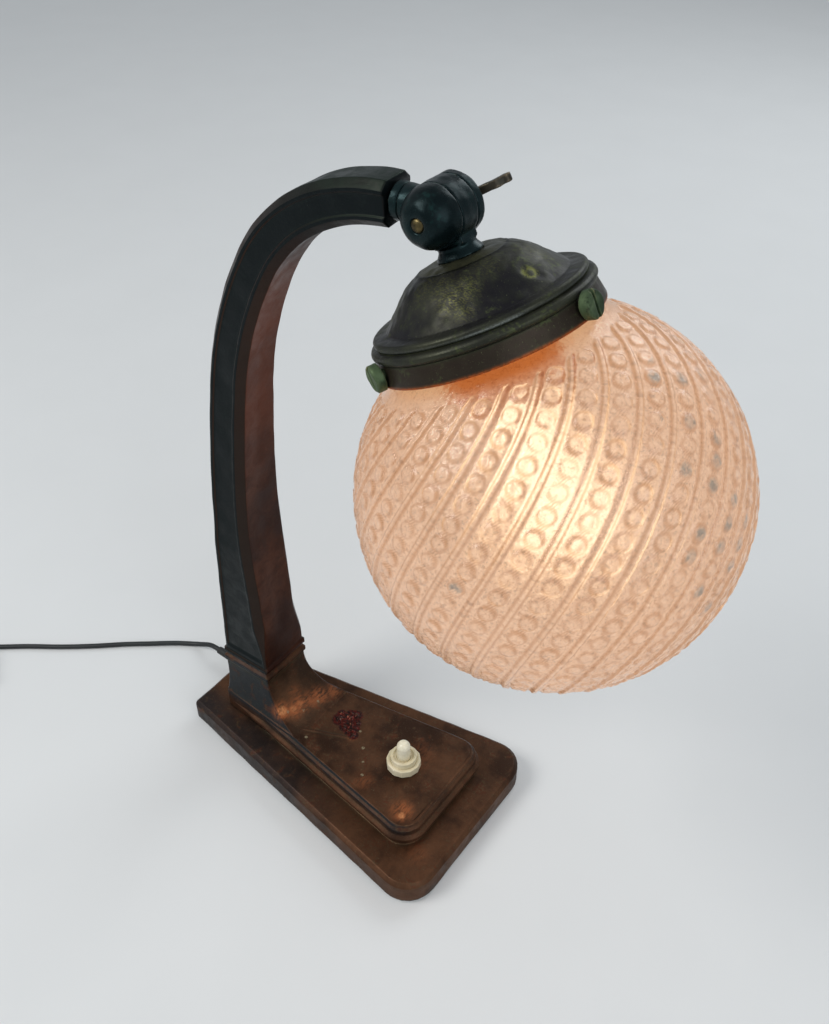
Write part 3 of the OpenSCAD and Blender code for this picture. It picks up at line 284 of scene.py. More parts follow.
def mark_wear(obj, full=0.16, rounds=2):
    """Stores how far each point stands on an edge, and how far it lies in a hollow."""
    p, n, e = points_of(obj), normals_of(obj), read(obj.data.edges, "vertices", 2, int)
    step = p[e[:, 1]] - p[e[:, 0]]
    reach = np.linalg.norm(step, axis=1) + 1e-9
    bend = np.zeros(len(p))
    for end, sign in zip(e.T, (-1, 1)):
        np.add.at(bend, end, sign * (step * n[end]).sum(axis=1) / reach)
    bend = spread(bend / np.maximum(1, np.bincount(e.ravel(), minlength=len(p))), e, rounds)
    store(obj, edge=np.clip(bend / full, 0, 1), hollow=np.clip(-bend / full, 0, 1))


def calm(obj, share):
    """Takes a share of the wear of edges away, all over or point by point."""
    edge = obj.data.attributes["edge"].data
    edge.foreach_set("value", read(edge, "value", 1).ravel() * (1 - share))


def uneven(obj, height, size, seed):
    """Pushes the surface in and out a little, as an old casting's is."""
    p = points_of(obj)
    set_points(obj, p + normals_of(obj) * (height * waves(p, size, seed))[:, None])


def quads(first, second, n):
    """Faces between two rings of n points, given where each ring starts."""
    i = np.arange(n)
    after = (i + 1) % n
    return np.stack([first + i, first + after, second + after, second + i], axis=1).tolist()


def skin_faces(ring_count, n, cap_first=True, cap_last=True, start=0):
    """Faces of a skin over rings of n points each, which run anticlockwise seen from above."""
    faces = []
    for j in range(ring_count - 1):
        faces += quads(start + j * n, start + (j + 1) * n, n)
    if cap_first:
        faces.append(list(range(start + n - 1, start - 1, -1)))
    if cap_last:
        faces.append(list(range(start + (ring_count - 1) * n, start + ring_count * n)))
    return faces


def between(a, b, parts):
    """Points that cut the way from a to b into equal parts, without its ends."""
    return [a + (b - a) * k / parts for k in range(1, parts)]


def half_angle(a, p, b):
    """Half the angle at p between the ways to a and to b."""
    return math.acos(np.clip(unit(a - p) @ unit(b - p), -1, 1)) / 2


def corner_arc(a, p, b, r, n):
    """Points of an arc that rounds corner p between its neighbours a and b."""
    u, v = unit(a - p), unit(b - p)
    half = half_angle(a, p, b)
    centre = p + unit(u + v) * r / math.sin(half)
    start, end = (p + side * r / math.tan(half) - centre for side in (u, v))
    a0 = math.atan2(start[1], start[0])
    turn = (math.atan2(end[1], end[0]) - a0 + math.pi) % (2 * math.pi) - math.pi
    return [centre + r * np.array([math.cos(a0 + turn * i / n), math.sin(a0 + turn * i / n)])
            for i in range(n + 1)]


NEARLY_STRAIGHT = math.radians(86)
ARC_SHARE = 0.45


def rounded(path, radius, steps=4):
    """The same open path with an arc at each inner corner that isn't nearly straight."""
    p = [np.array(q, float) for q in path]
    out = [p[0]]
    for a, b, c in zip(p, p[1:], p[2:]):
        half = half_angle(a, b, c)
        if half > NEARLY_STRAIGHT:
            out.append(b)
        else:
            room = ARC_SHARE * min(np.linalg.norm(a - b), np.linalg.norm(c - b))
            out += corner_arc(a, b, c, min(radius, room * math.tan(half)), steps)
    return out + [p[-1]]


def along(path, step):
    """The same path with points no further apart than step."""
    out = [path[0]]
    for a, b in zip(path, path[1:]):
        out += between(a, b, max(1, math.ceil(np.linalg.norm(b - a) / step))) + [b]
    return out


# Base

RING_STEPS = dict(back=18, side=84, front=34, corner=8)
FOOT_CORNER_R = 1.2
PLINTH_SLOPE = (PLINTH["half_front"] - PLINTH["half_back"]) / (PLINTH["front"] - PLINTH["back"])
SWEEP_END_X = FOOT_X + FOOT_DEPTH / 2 + SWEEP_R + FOOT_FLARE
# How much wider the foot is at the end of its sweep, where it reaches the plinth's edges
FOOT_SPREAD = PLINTH["half_back"] + PLINTH_SLOPE * (SWEEP_END_X - PLINTH["back"]) - FOOT_W / 2 - FOOT_FLARE


def trapezoid(z, inset, r_back, r_front, back, front, half_back, half_front):
    """Ring round a trapezoid about the X axis, always of the same number of points."""
    m = (half_front - half_back) / (front - back)
    side = inset * math.sqrt(1 + m * m)
    x0, x1 = back + inset, front - inset
    w0, w1 = half_back + m * inset - side, half_front - m * inset - side
    p = [np.array(q) for q in ((x0, -w0), (x1, -w1), (x1, w1), (x0, w0))]
    arcs = [corner_arc(p[i - 1], p[i], p[(i + 1) % 4], r, RING_STEPS["corner"])
            for i, r in enumerate((r_back, r_front, r_front, r_back))]
    out = []
    for arc, following, edge in zip(arcs, arcs[1:] + arcs[:1], ("side", "front", "side", "back")):
        out += arc + between(arc[-1], following[0], RING_STEPS[edge])
    return np.column_stack([out, np.full(len(out), z)])


def plate_ring(inset, z):
    return trapezoid(z, inset, max(0.6, 3 - inset), max(1, 15 - inset), **PLATE)


def plinth_ring(inset, z):
    return trapezoid(z, inset, max(0.6, 2 - inset), max(1, 9 - inset), **PLINTH)


def foot_ring(z, out, swept=0):
    """Ring round the foot, with a share of its sweep towards the front."""
    front = FOOT_X + FOOT_DEPTH / 2 + out + SWEEP_R * swept
    return trapezoid(z, 0, FOOT_CORNER_R, FOOT_CORNER_R, FOOT_X - FOOT_DEPTH / 2 - out, front,
                     FOOT_W / 2 + out, FOOT_W / 2 + out + FOOT_SPREAD * swept)


# Outlines of the mouldings, as inset and height
PLATE_PROFILE = [(1.0, FELT_T), (0, FELT_T + 0.6), (0, PLATE_H - 2), (2, PLATE_H), (3.2, PLATE_H)]
PLINTH_PROFILE = [(-4.4, PLATE_H), (-1.4, PLATE_H), (-1.4, 16.6), (-3.6, 18), (-3.6, 20), (-1.9, 21.6),
                  (-1.9, 24.6), (-0.6, 25.6), (-0.1, PLINTH_H), (1.2, PLINTH_H)]
FOOT_LOW_Z = [PLATE_H - 0.5, 17, 20, 23, 25.5]
SWEEP_STEPS = 22
# How fast the plate widens towards the front, for the shade on its side
PLATE_SLOPE = 0.165
SWITCH_X = 40.0
SWITCH_HOLE_R = 6.0
# Lumps on the plinth's top: x, y, radius, height
PLINTH_LUMPS = [(1.6, 10.0, 2.4, 1.1), (-3.4, 3.6, 2.9, 1.2), (-0.6, 6.8, 2.5, 1.6), (2.8, 3.2, 2.1, 1.3),
                (-5.4, 6.8, 1.6, 0.7), (5.0, 0.2, 2.0, 1.2), (8.4, -0.8, 1.8, 1.1), (1.2, 0.4, 1.7, 0.9),
                (4.8, 6.2, 1.7, 0.9), (-1.6, 9.8, 1.5, 0.7), (6.8, 3.4, 1.4, 0.8)]
SEAM_RIDGE = [(-17.6, -13.9), (-4.3, -8.2), (8.1, -3.1)]
SEAM_RIDGE_HALF = 0.5
SEAM_RIDGE_H = 0.45
# Marks on the base: x, y, z, radius and strength
COPPER_MARKS = [(-28.5, -13.5, 32.5, 4.6, 1.0), (-25.5, -8, 31, 4.4, 0.85), (-25, -3, 30.8, 4.6, 0.8),
                (-23, 3, 29.8, 4.4, 0.62), (-21.5, 8.5, 29, 4.6, 0.75), (-18.2, 15.5, 27.8, 4, 0.5),
                (-31, -2, 34, 4.5, 0.35), (55.5, -22.5, 27, 5.4, 0.75), (57.2, -24.8, 27, 3.0, 1.0),
                (8.5, -2.0, 27, 2.4, 0.5), (30, -20, 27, 5, 0.28), (42, 8, 27, 9, 0.22), (70, -30, 14, 6, 0.2)]
PALE_MARKS = [(-10.5, -15.9, 27, 0.9, 1.0), (17.4, -4.2, 27, 1.0, 1.0), (22.8, -11, 27, 0.8, 0.9),
              (27.3, -17.5, 27, 0.9, 1.0), (-19.5, 5.0, 28.6, 1.2, 0.9), (-22, -4.5, 29.6, 1.1, 0.8),
              (9.6, 3.4, 27, 0.9, 0.8), (-26.5, -11.5, 31.8, 1.2, 0.8)]


def distance_to(route, x, y):
    """Distance of each x and y from a route of straight pieces."""
    best = np.full(len(x), 1e9)
    for (x0, y0), (x1, y1) in zip(route, route[1:]):
        dx, dy = x1 - x0, y1 - y0
        t = np.clip(((x - x0) * dx + (y - y0) * dy) / (dx * dx + dy * dy), 0, 1)
        best = np.minimum(best, np.hypot(x - x0 - t * dx, y - y0 - t * dy))
    return best


def plinth_top(n_side=240, n_across=130):
    """A fine sheet for the plinth's top, with the lumps and the ridge that stand on it."""
    ring = plinth_ring(1.1, 0)[:, :2]
    low, high = ring[:, 0].min(), ring[:, 0].max()
    places = np.linspace(-1, 1, n_across)
    points = []
    for at in low + (high - low) * np.linspace(0, 1, n_side):
        hits = [a[1] + (b[1] - a[1]) * (at - a[0]) / (b[0] - a[0])
                for a, b in zip(ring, np.roll(ring, -1, axis=0))
                if (a[0] - at) * (b[0] - at) <= 0 and a[0] != b[0]]
        half = max(hits, default=PLINTH["half_back"] - 1)
        points += [(at, half * v, PLINTH_H) for v in places]
    p = np.array(points)
    x, y, z = p.T
    rough = waves(p, 2.3, 41)
    bend = 0.45 * waves(p, 3.1, 43)
    for lump_x, lump_y, r, h in PLINTH_LUMPS:
        d = np.hypot(x - lump_x + bend, (y - lump_y) * 1.15 + bend)
        z += 0.62 * h * (1 - soft_step(d / r, 0.1, 1.1)) * (1 + 0.5 * rough)
    z += SEAM_RIDGE_H * bell(distance_to(SEAM_RIDGE, x, y), SEAM_RIDGE_HALF)
    z += 0.05 * waves(p, 9, 5) + 0.02
    z -= 0.12 * soft_step(np.abs(np.tile(places, n_side)), 0.97, 1)
    p[:, 2] = np.maximum(z, PLINTH_H - 0.2)
    # The switch's collar goes through the plinth, so the sheet is open there
    opened = np.hypot(x - SWITCH_X, y) < SWITCH_HOLE_R
    starts = (i * n_across + j for i in range(n_side - 1) for j in range(n_across - 1))
    return p, [(a, a + n_across, a + n_across + 1, a + 1) for a in starts if not opened[a]]


def add_base():
    rings = [plate_ring(i, z) for i, z in along(rounded(PLATE_PROFILE, 1.1), 2.5)]
    inner = [plinth_ring(i, z) for i, z in along(rounded(PLINTH_PROFILE, 0.7), 1.2)]
    rings += between(rings[-1], inner[0], 5) + inner
    sheet, sheet_faces = plinth_top()
    foot = [foot_ring(z, FOOT_FLARE, 1) for z in FOOT_LOW_Z]
    for i in range(SWEEP_STEPS, -1, -1):
        a = math.pi / 2 * i / SWEEP_STEPS
        k = 1 - math.cos(a)
        foot.append(foot_ring(PLINTH_H + SWEEP_R * (1 - math.sin(a)), FOOT_FLARE * k, k))
    seam = [(out, SEAM_H - d) for d, out in SEAM_PROFILE[::-1]]
    foot += [foot_ring(z, out) for out, z in along(rounded(seam, 0.5), 0.6)]
    n = len(rings[0])
    sheet_start = len(rings) * n
    faces = skin_faces(len(rings), n, cap_last=False)
    faces += [[sheet_start + k for k in f] for f in sheet_faces]
    faces += skin_faces(len(foot), n, start=sheet_start + len(sheet))
    base = mesh_object("base_skin", np.concatenate(rings + [sheet] + foot), faces, "stand",
                       "dark_bronze", "base_casting")
    uneven(base, 0.07, 17, 3)
    mark_wear(base, 0.2)
    p = points_of(base)
    x, y, z = p.T
    # No bare metal shows where the foot meets the plinth
    calm(base, (z > 13) * (z < 30) * (x < -8))
    # Painted shade and reflection: the side faces of the plinth and foot, and the plate's left side towards
    # the back, take the bronze's dark blue-grey side colour
    plinth_side = soft_step(np.abs(normals_of(base)[:, 1]), 0.45, 0.9) * soft_step(z, 20, 26)
    plate_side = soft_step(-y / (PLATE["half_back"] + PLATE_SLOPE * (x - PLATE["back"])), 0.2, 0.9)
    plate_side = plate_side * soft_step(45 - x, 0, 70) * (z < 14.5)
    lumps = [(x, y, PLINTH_H + h / 2, 1.35 * r, 1.0) for x, y, r, h in PLINTH_LUMPS]

    def distance(*place):
        return np.linalg.norm(p - place, axis=1)

    store(base, tone=np.maximum(plinth_side, 0.6 * plate_side), copper=covered(distance, COPPER_MARKS),
          pale=covered(distance, PALE_MARKS), lump=covered(distance, lumps))


# Arm

ARM_STRAIGHT = 70.0
# Radius and turn in degrees of each bend above the straight part
BENDS = [(632.0, 9.2), (178.0, 21.1), (75.0, 55.8)]
ARM_LEN = ARM_STRAIGHT + sum(r * math.radians(turn) for r, turn in BENDS)
FLARE_LEN = 95.0
FULL_WIDTH_LEN = 80.0
WAIST_DEPTH = 20.0
END_DEPTH = 16.0
END_W = 16.0
PANEL_SUNK = 0.7
PANEL_RIM = 1.2
PANEL_SLANT = 0.5
FRONT_DISH = 0.5


def ramp(x, x0, x1, a, b):
    return a + (b - a) * max(0.0, min(1.0, (x - x0) / (x1 - x0)))


def arm_at(s):
    """Place in the XZ plane and direction in degrees of the arm's middle line."""
    place, direction = np.array([FOOT_X, SEAM_H + min(s, ARM_STRAIGHT)]), 90.0
    left = s - ARM_STRAIGHT
    for r, turn in BENDS:
        length = r * math.radians(turn)
        part = min(max(0.0, left), length) / length * turn
        a0, a1 = math.radians(direction), math.radians(direction - part)
        place = place + r * np.array([math.sin(a0) - math.sin(a1), math.cos(a1) - math.cos(a0)])
        direction -= part
        left -= length
    return place, direction


def arm_section(s):
    """Half outline of the arm's section: out from the middle line, and across."""
    seam = np.interp(s, *zip(*SEAM_PROFILE))
    depth = np.interp(s, [0, FLARE_LEN, ARM_LEN], [FOOT_DEPTH, WAIST_DEPTH, END_DEPTH])
    h = depth / 2 + seam
    w = ramp(s, FULL_WIDTH_LEN, ARM_LEN, FOOT_W, END_W) / 2 + seam
    front = ramp(s, 12, 30, 0.8, ramp(s, 30, ARM_LEN, 3.6, 2.8))
    back = ramp(s, 0, ARM_LEN, 1.2, 2.8)
    dish = ramp(s, 12, 30, 0, FRONT_DISH)
    panel = w - ramp(s, 7, 9, 0, PANEL_SUNK)
    top, bottom = h - front - PANEL_RIM, -h + back + PANEL_RIM
    return [(h - dish, 0), (h - dish * 0.4, 0.6 * (w - front)), (h, w - front), (h - front, w), (top, w),
            (top - PANEL_SLANT, panel), (bottom + PANEL_SLANT, panel), (bottom, w), (-h + back, w),
            (-h, w - back), (-h, 0)]


SECTION_SPANS = [3, 3, 4, 2, 2, 9, 2, 2, 3, 7]
SECTION_CORNER_R = 0.5


def section_ring(s, shrink=0.0):
    half = [np.array(q, float) for q in arm_section(s)]
    path = [half[0]]
    # Fixed counts keep every ring alike: four points at each corner and even steps between
    for a, b, c, spans in zip(half, half[1:], half[2:], SECTION_SPANS):
        corner = rounded([a, b, c], SECTION_CORNER_R, 3)[1:-1]
        if len(corner) != 4:
            corner = [b + k * (q - b) for k, q in ((0.06, a), (0.02, a), (0.02, c), (0.06, c))]
        path += between(path[-1], corner[0], spans) + corner
    path += between(path[-1], half[-1], SECTION_SPANS[-1]) + [half[-1]]
    out, across = np.array(path + [q * (1, -1) for q in path[-2:0:-1]]).T
    place, direction = arm_at(s)
    a = math.radians(direction)
    k = 1 - shrink / np.maximum(1.0, np.hypot(out, across))
    return np.column_stack([place[0] + k * out * math.sin(a), k * across,
                            place[1] - k * out * math.cos(a)])


ARM_FINE = [0.0, 0.5, 1.0, 1.5, 1.9, 2.3, 2.9, 3.5, 3.9, 4.3, 4.7, 5.4, 6.2, 7.0, 7.5, 8.0, 8.5, 9.0, 9.6,
            10.5]
ARM_STEP = 1.5


def add_arm():
    stations = ARM_FINE + list(np.arange(11.5, ARM_LEN - 1.2, ARM_STEP)) + [ARM_LEN - 0.8, ARM_LEN - 0.3]
    rings = [section_ring(s) for s in stations] + [section_ring(ARM_LEN, 0.5)]
    n = len(rings[0])
    arm = mesh_object("arm_skin", np.concatenate(rings), skin_faces(len(rings), n), "stand",
                      "arm_bronze", "arm_casting")
    uneven(arm, 0.06, 15, 11)
    mark_wear(arm, 0.2)
    calm(arm, 0.75)
    normal = normals_of(arm)
    across = np.abs(normal[:, 1])
    reach = np.repeat(stations + [ARM_LEN], n) / ARM_LEN
    end = soft_step(reach, 0.70, 0.9)
    chamfer = soft_step(across, 0.3, 0.5) * (1 - soft_step(across, 0.8, 0.92))
    # Painted shade and reflection: the side faces take the bronze's dark side colour and the chamfers a
    # grey-brown painted shade; the end near the knuckle takes the side colour too
    store(arm, tone=np.maximum(soft_step(across, 0.35, 0.8), end), strip=chamfer * (1 - 0.6 * end),
          reach=reach, top=soft_step(normal[:, 2], 0.3, 0.9) * soft_step(reach, 0.74, 0.95))


# Head parts

def head_point(side, across, down):
    """Points from the head's own frame: side and across the axis, and down it from the knuckle."""
    return (KNUCKLE + np.multiply.outer(side, HEAD_SIDE) + np.multiply.outer(across, ACROSS)
            + np.multiply.outer(down, HEAD_AXIS))


def head_ring(r, down, angles):
    """Ring of radius r round the head's axis, down from the knuckle."""
    return head_point(r * np.cos(angles), r * np.sin(angles), np.full(len(angles), down))


GALLERY_COUNT = 224
GALLERY_R = 39.8
# Arcs of the gallery's section: radius and height of the centre, and the arc's own radius
LOW_BEAD = (GALLERY_R - 2, 8.9, 1.6)
HIGH_BEAD = (GALLERY_R - 3.7, 12.2, 1.3)
DOME_OUT = (8.4, 6.5, 22)
DOME_IN = (8.4, 6.5, 20.4)
NECK_R = 5.4


def arc_points(centre, height, r, angles):
    return [(centre + r * math.cos(math.radians(a)), height + r * math.sin(math.radians(a)))
            for a in angles]


def gallery_profile():
    """Radius and height above the rim, up the outside and down the inside."""
    outer = [(GALLERY_R - 1.3, 0), (GALLERY_R, 0), (GALLERY_R, 0.8), (GALLERY_R - 1.4, 7.0)]
    outer += arc_points(*LOW_BEAD, range(-80, 81, 20)) + arc_points(*HIGH_BEAD, range(-80, 81, 20))
    outer += [(33, 13.7), (32, 14)] + arc_points(*DOME_OUT, range(45, 91, 3)) + [(NECK_R, 28.5)]
    inner = [(NECK_R, 26.9)] + arc_points(*DOME_IN, range(90, 44, -5))
    inner += [(30.8, 12.4), (34.6, 12.4), (36.4, 10.4), (36.5, 7.0), (GALLERY_R - 1.8, 0)]
    return along(rounded(outer, 0.45, 3), 0.5), along([np.array(q) for q in inner], 4)


# Cast ring on the dome: turn about the axis in degrees, height above the rim, radius
ROSETTE = (-8, 19.1, 3.2)
DOME_FROM = 20
CREASE_R = 15.6
CREASE_HALF = 0.65
BRIGHT_LINE_UP = 11.7
# Patches of green on the dome: the same, and strength
LEAF_PATCHES = [(-66, 21, 5.5, 1.0), (-55, 22.5, 5.0, 0.9), (-75, 24.5, 4.5, 0.7), (-60, 17.5, 4.0, 0.7),
                (-96, 25.5, 5.0, 0.6), (-30, 26, 5.0, 0.45), (20, 22, 6.0, 0.6), (95, 21, 7.0, 0.8),
                (150, 18, 6.0, 0.7), (-140, 20, 6.0, 0.6)]


def add_gallery():
    outer, inner = gallery_profile()
    profile = [(r, RIM_DROP - t) for r, t in outer + inner]
    n = GALLERY_COUNT
    round_axis = 2 * math.pi * np.arange(n) / n
    faces = skin_faces(len(profile), n, False, False) + quads((len(profile) - 1) * n, 0, n)
    gallery = mesh_object("gallery_skin", np.concatenate([head_ring(r, d, round_axis) for r, d in profile]),
                          [f[::-1] for f in faces], "head", "gallery_patina", "gallery")
    p = points_of(gallery)
    rel = p - KNUCKLE
    up = RIM_DROP - rel @ HEAD_AXIS
    side, across = rel @ HEAD_SIDE, rel @ ACROSS
    turn = np.degrees(np.arctan2(across, side))
    radius = np.hypot(across, side)
    outside = np.repeat([1.0, 0.0], [len(outer) * n, len(inner) * n])
    on_dome = (up > DOME_FROM) * outside

    def distance(at, height):
        """Distance over the sloping dome from a turn and a height."""
        return np.hypot(np.radians(turn - at) * radius, (up - height) * 1.5)

    at, height, r = ROSETTE
    ring = bell(distance(at, height) - 0.62 * r, 0.26 * r)
    crease = bell(radius - CREASE_R, CREASE_HALF) * on_dome
    push = (0.05 * waves(p, 9, 21) + 0.04 * waves(p, 4, 22)) * (0.3 + 0.7 * soft_step(up, 13, 16))
    push += 0.12 * ring - 0.22 * crease
    push *= outside * soft_step(up, 0.4, 1.4) * soft_step(radius, 6, 8)
    set_points(gallery, p + normals_of(gallery) * (push - 0.12 * outside)[:, None])
    mark_wear(gallery)
    calm(gallery, np.maximum(0.8 * (1 - soft_step(up, 13.5, 15)), crease))
    # Painted light and shade in the looks: an orange glow of the lit globe along the rim, shade in the crease,
    # and a highlight, with wear, along the upper bead, strongest over these turns
    highlight_and_wear_part = soft_step(turn, -74, -52) * (1 - soft_step(turn, -40, -24))
    line = bell(up - BRIGHT_LINE_UP, 0.4) * (radius > 34)
    looks = dict(disc=(1 - soft_step(radius, CREASE_R - 0.7, CREASE_R)) * on_dome,
                 rim=1 - soft_step(up, 0.2, 1.1), leaf=covered(distance, LEAF_PATCHES), ring=ring,
                 crease=crease, tone=1 - soft_step(up, 6.4, 7.6), bright=line * np.maximum(highlight_and_wear_part, 0.25))
    store(gallery, **{name: values * outside for name, values in looks.items()})


# Globe

RIB_COUNT = 24
RIB_STEPS = 26
RING_COUNT = 230
TWIST = 1.12
RIB_AT = -46.5
RIB_REF = 60.0
GLASS_T = 3.0
DOT_R = 3.3
DOT_STEP = 7.7
RELIEF = 0.85
PATTERN_FROM = 37.0
PATTERN_TO = 166.0
NECK_THETA = 31.0
RIB_HALF = 1.15
NECK_HOLE_R = 30.4
SHOULDER_DOWN = (48.0, 53.0)
INNER_RINGS = 34
# Radius and distance below the knuckle, up the neck's lip and down to the shoulder
NECK_PROFILE = [(30.4, 33.7), (35.1, 33.7), (35.6, 34.2), (35.6, 36.5), (33.4, 37.2), (33.4, 41.9),
                (33.9, 42.9), (35.4, 44.2)]
# Parts of the globe where single dots look clear, painted blue-grey for the surroundings seen through them:
# polar angle, turn in degrees, radius in mm, share of dots
CLEAR_PLACES = [(63, 2, 15, 0.5), (82, -7, 13, 0.5), (98, -9, 17, 0.75), (112, -12, 12, 0.55),
                (80, -79, 8, 0.5), (64, -97, 6, 0.6), (102, 150, 22, 0.5), (84, 60, 18, 0.5)]


def relief(theta, u):
    """Height of the pressed pattern, how far a point is in a dot, and the dot's lot from 0 to 1.

    theta is the polar angle in degrees, and u the place round the globe in ribs."""
    rad = np.radians(theta)
    lean = np.cos(np.arctan(TWIST * np.sin(rad)))
    pitch = np.radians(360 / RIB_COUNT) * np.sin(rad) * GLOBE_R * lean
    off_rib = np.abs(u - np.round(u)) * pitch
    half = np.minimum(RIB_HALF, 0.15 * pitch)
    rib = 1 - soft_step(off_rib, half * 0.25, half * 1.3)
    groove = bell(off_rib - half * 1.75, 0.4)
    # Dots sit midway between the ribs, evenly along each row
    grid = np.radians(np.linspace(0, 180, 1801))
    length = GLOBE_R * np.cumsum(np.sqrt(1 + (TWIST * np.sin(grid)) ** 2)) * (grid[1] - grid[0])
    row = np.floor(u)
    start = np.interp(math.radians(PATTERN_FROM), grid, length) + DOT_R + 0.4
    shift = 0.3 * DOT_STEP * np.mod(row * 0.618, 1)
    off = u - row - 0.5
    # Rows run aslant, so a step round the globe is also a step along the row
    skew = TWIST * np.sin(rad) * pitch
    place = (np.interp(rad, grid, length) - off * skew - start - shift) / DOT_STEP
    dot = np.round(place)
    size = np.minimum(DOT_R, 0.5 * pitch - half - 0.25)
    d = np.hypot((place - dot) * DOT_STEP, off * pitch) / np.maximum(size, 0.3)
    vary = 1 + 0.15 * np.sin((row * 31.7 + dot * 17.3) * 12.9898)
    coin = (1 - soft_step(d, 0.62, 1.06)) * vary - 0.3 * bell(d, 0.45)
    coin *= 1 - 0.4 * soft_step(theta, 108, 140)
    live = (dot >= 0) * (size > 1.0)
    low = soft_step(theta, PATTERN_FROM, PATTERN_FROM + 0.8)
    edge = low * (1 - soft_step(theta, PATTERN_TO - 4, PATTERN_TO))
    pattern = np.maximum(rib, coin * live * 0.92) - 0.22 * groove
    lot = np.mod(np.sin(row * 12.9898 + dot * 78.233) * 43758.5453, 1)
    middle = (1 - soft_step(d, 0.5, 0.85)) * live * low
    return (edge * pattern + 0.45 * (1 - low)) * RELIEF, middle, lot


def sphere_way(theta, turn):
    """Ways out from the globe's centre, at a polar angle and a turn in radians."""
    return np.stack([np.sin(theta) * np.cos(turn), np.sin(theta) * np.sin(turn), np.cos(theta)], axis=-1)


def add_globe():
    count = RIB_COUNT * RIB_STEPS
    step = 360 / RIB_COUNT
    thetas = np.concatenate([np.linspace(NECK_THETA, PATTERN_FROM - 0.4, 6),
                             np.linspace(PATTERN_FROM - 0.2, PATTERN_TO, RING_COUNT),
                             np.linspace(PATTERN_TO + 1.5, 179.6, 8)])
    neck = rounded(NECK_PROFILE, 0.6, 3)
    all_theta, all_u = np.meshgrid(thetas, np.arange(count) / RIB_STEPS, indexing="ij")
    height, middle, lot = relief(all_theta, all_u)
    turn = np.radians(RIB_AT + step * all_u - TWIST * (all_theta - RIB_REF))
    tilt = np.radians(all_theta)
    unit = sphere_way(tilt, turn)
    wrinkle = waves(GLOBE_R * unit.reshape(-1, 3), 3.2, 77).reshape(turn.shape)
    wrinkle *= 0.05 + 0.1 * soft_step(all_theta, 85, 135)
    # Painted light: dots here are tinted blue-grey, for the surroundings seen through the clear glass
    clear = np.zeros(turn.shape)
    for at_theta, at_turn, far, share in CLEAR_PLACES:
        at = sphere_way(math.radians(at_theta), math.radians(at_turn))
        near = np.degrees(np.arccos(np.clip(unit @ at, -1, 1))) * math.radians(GLOBE_R) < far
        clear = np.maximum(clear, middle * near * (lot < share))
    r = np.minimum(GLOBE_R - RELIEF - 0.12 + height + wrinkle, GLOBE_R - 0.02)
    rings = [head_ring(neck_r, d, turn[0]) for neck_r, d in neck]
    for side, across, up in np.moveaxis(unit * r[..., None], -1, 1):
        rings.append(head_point(side, across, GLOBE_DROP - up))
    # How steep the relief is, where the pressed glass takes painted shade: a darker warm tint round its dots
    # and ribs
    by_turn = np.gradient(height, axis=1) / np.maximum(0.1, np.radians(360 / count) * np.sin(tilt) * GLOBE_R)
    by_tilt = np.gradient(height, axis=0) / (np.gradient(tilt, axis=0) * GLOBE_R)
    slope = np.clip(np.hypot(by_turn, by_tilt) / 0.8, 0, 1)
    inner_r = GLOBE_R - GLASS_T
    tilts = np.radians(np.linspace(179.2, math.degrees(math.asin(NECK_HOLE_R / inner_r)), INNER_RINGS))
    inside = [head_ring(inner_r * math.sin(t), GLOBE_DROP - inner_r * math.cos(t), turn[0]) for t in tilts]
    faces = skin_faces(len(rings), count, cap_first=False)
    outer_faces = len(faces)
    start = len(rings) * count
    faces += skin_faces(len(inside), count, cap_last=False, start=start)
    faces += quads(start + (len(inside) - 1) * count, 0, count)
    globe = mesh_object("globe_pressed", np.concatenate(rings + inside), [f[::-1] for f in faces],
                        "head", "globe_glass", "globe")
    slope, clear = (np.pad(v.ravel(), (len(neck) * count, len(inside) * count)) for v in (slope, clear))
    down = (points_of(globe) - KNUCKLE) @ HEAD_AXIS
    store(globe, slope=slope, clear=clear, shoulder=1 - soft_step(down, *SHOULDER_DOWN))
    return globe, np.arange(len(faces)) >= outer_faces


# Worn copies of small cast and turned pieces

SPRING_R = 3.6
SPRING_WIRE = 0.45
SPRING_TURNS = 5
SPRING_STEPS = 24
SPRING_INSET = 0.03


def add_spring():
    """The switch's spring, drawn at rest as a coil of wire within the imported spring's height; the real one
    shortens as its button goes down.
    """
    low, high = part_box("switch_spring")
    steps = SPRING_TURNS * SPRING_STEPS
    turns = np.linspace(0, 2 * math.pi * SPRING_TURNS, steps + 1)
    heights = np.linspace(low[2] / MM + SPRING_WIRE, high[2] / MM - SPRING_WIRE, steps + 1)
    around = np.radians(np.arange(0, 360, 45))
    wire_r = SPRING_WIRE - SPRING_INSET
    reach = SPRING_R - SPRING_INSET + wire_r * np.cos(around)
    rise = wire_r * np.sin(around)
    points = [(SWITCH_X + r * math.cos(t), r * math.sin(t), z + h)
              for t, z in zip(turns, heights) for r, h in zip(reach, rise)]
    spring = mesh_object("spring_coil", points, skin_faces(steps + 1, len(around)), "stand", "steel",
                         "switch_spring")
    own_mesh(spring)


def worn(node, name, body, slot, voxel, smoothing=3, rough=0.0, seed=1):
    """A remeshed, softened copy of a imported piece, with slightly uneven faces."""
    obj = add_object(name, frame["nodes"][node].data.copy())
    obj.modifiers.new("remesh", "REMESH").voxel_size = voxel * MM
    obj.modifiers.new("smooth", "SMOOTH").iterations = smoothing
    graph = bpy.context.evaluated_depsgraph_get()
    made = bpy.data.meshes.new_from_object(obj.evaluated_get(graph))
    obj.modifiers.clear()
    obj.data = made
    made.name = name
    made.shade_smooth()
    place_piece(obj, body, slot, node)
    if rough:
        uneven(obj, rough, 5, seed)
    mark_wear(obj, 0.22, 3)


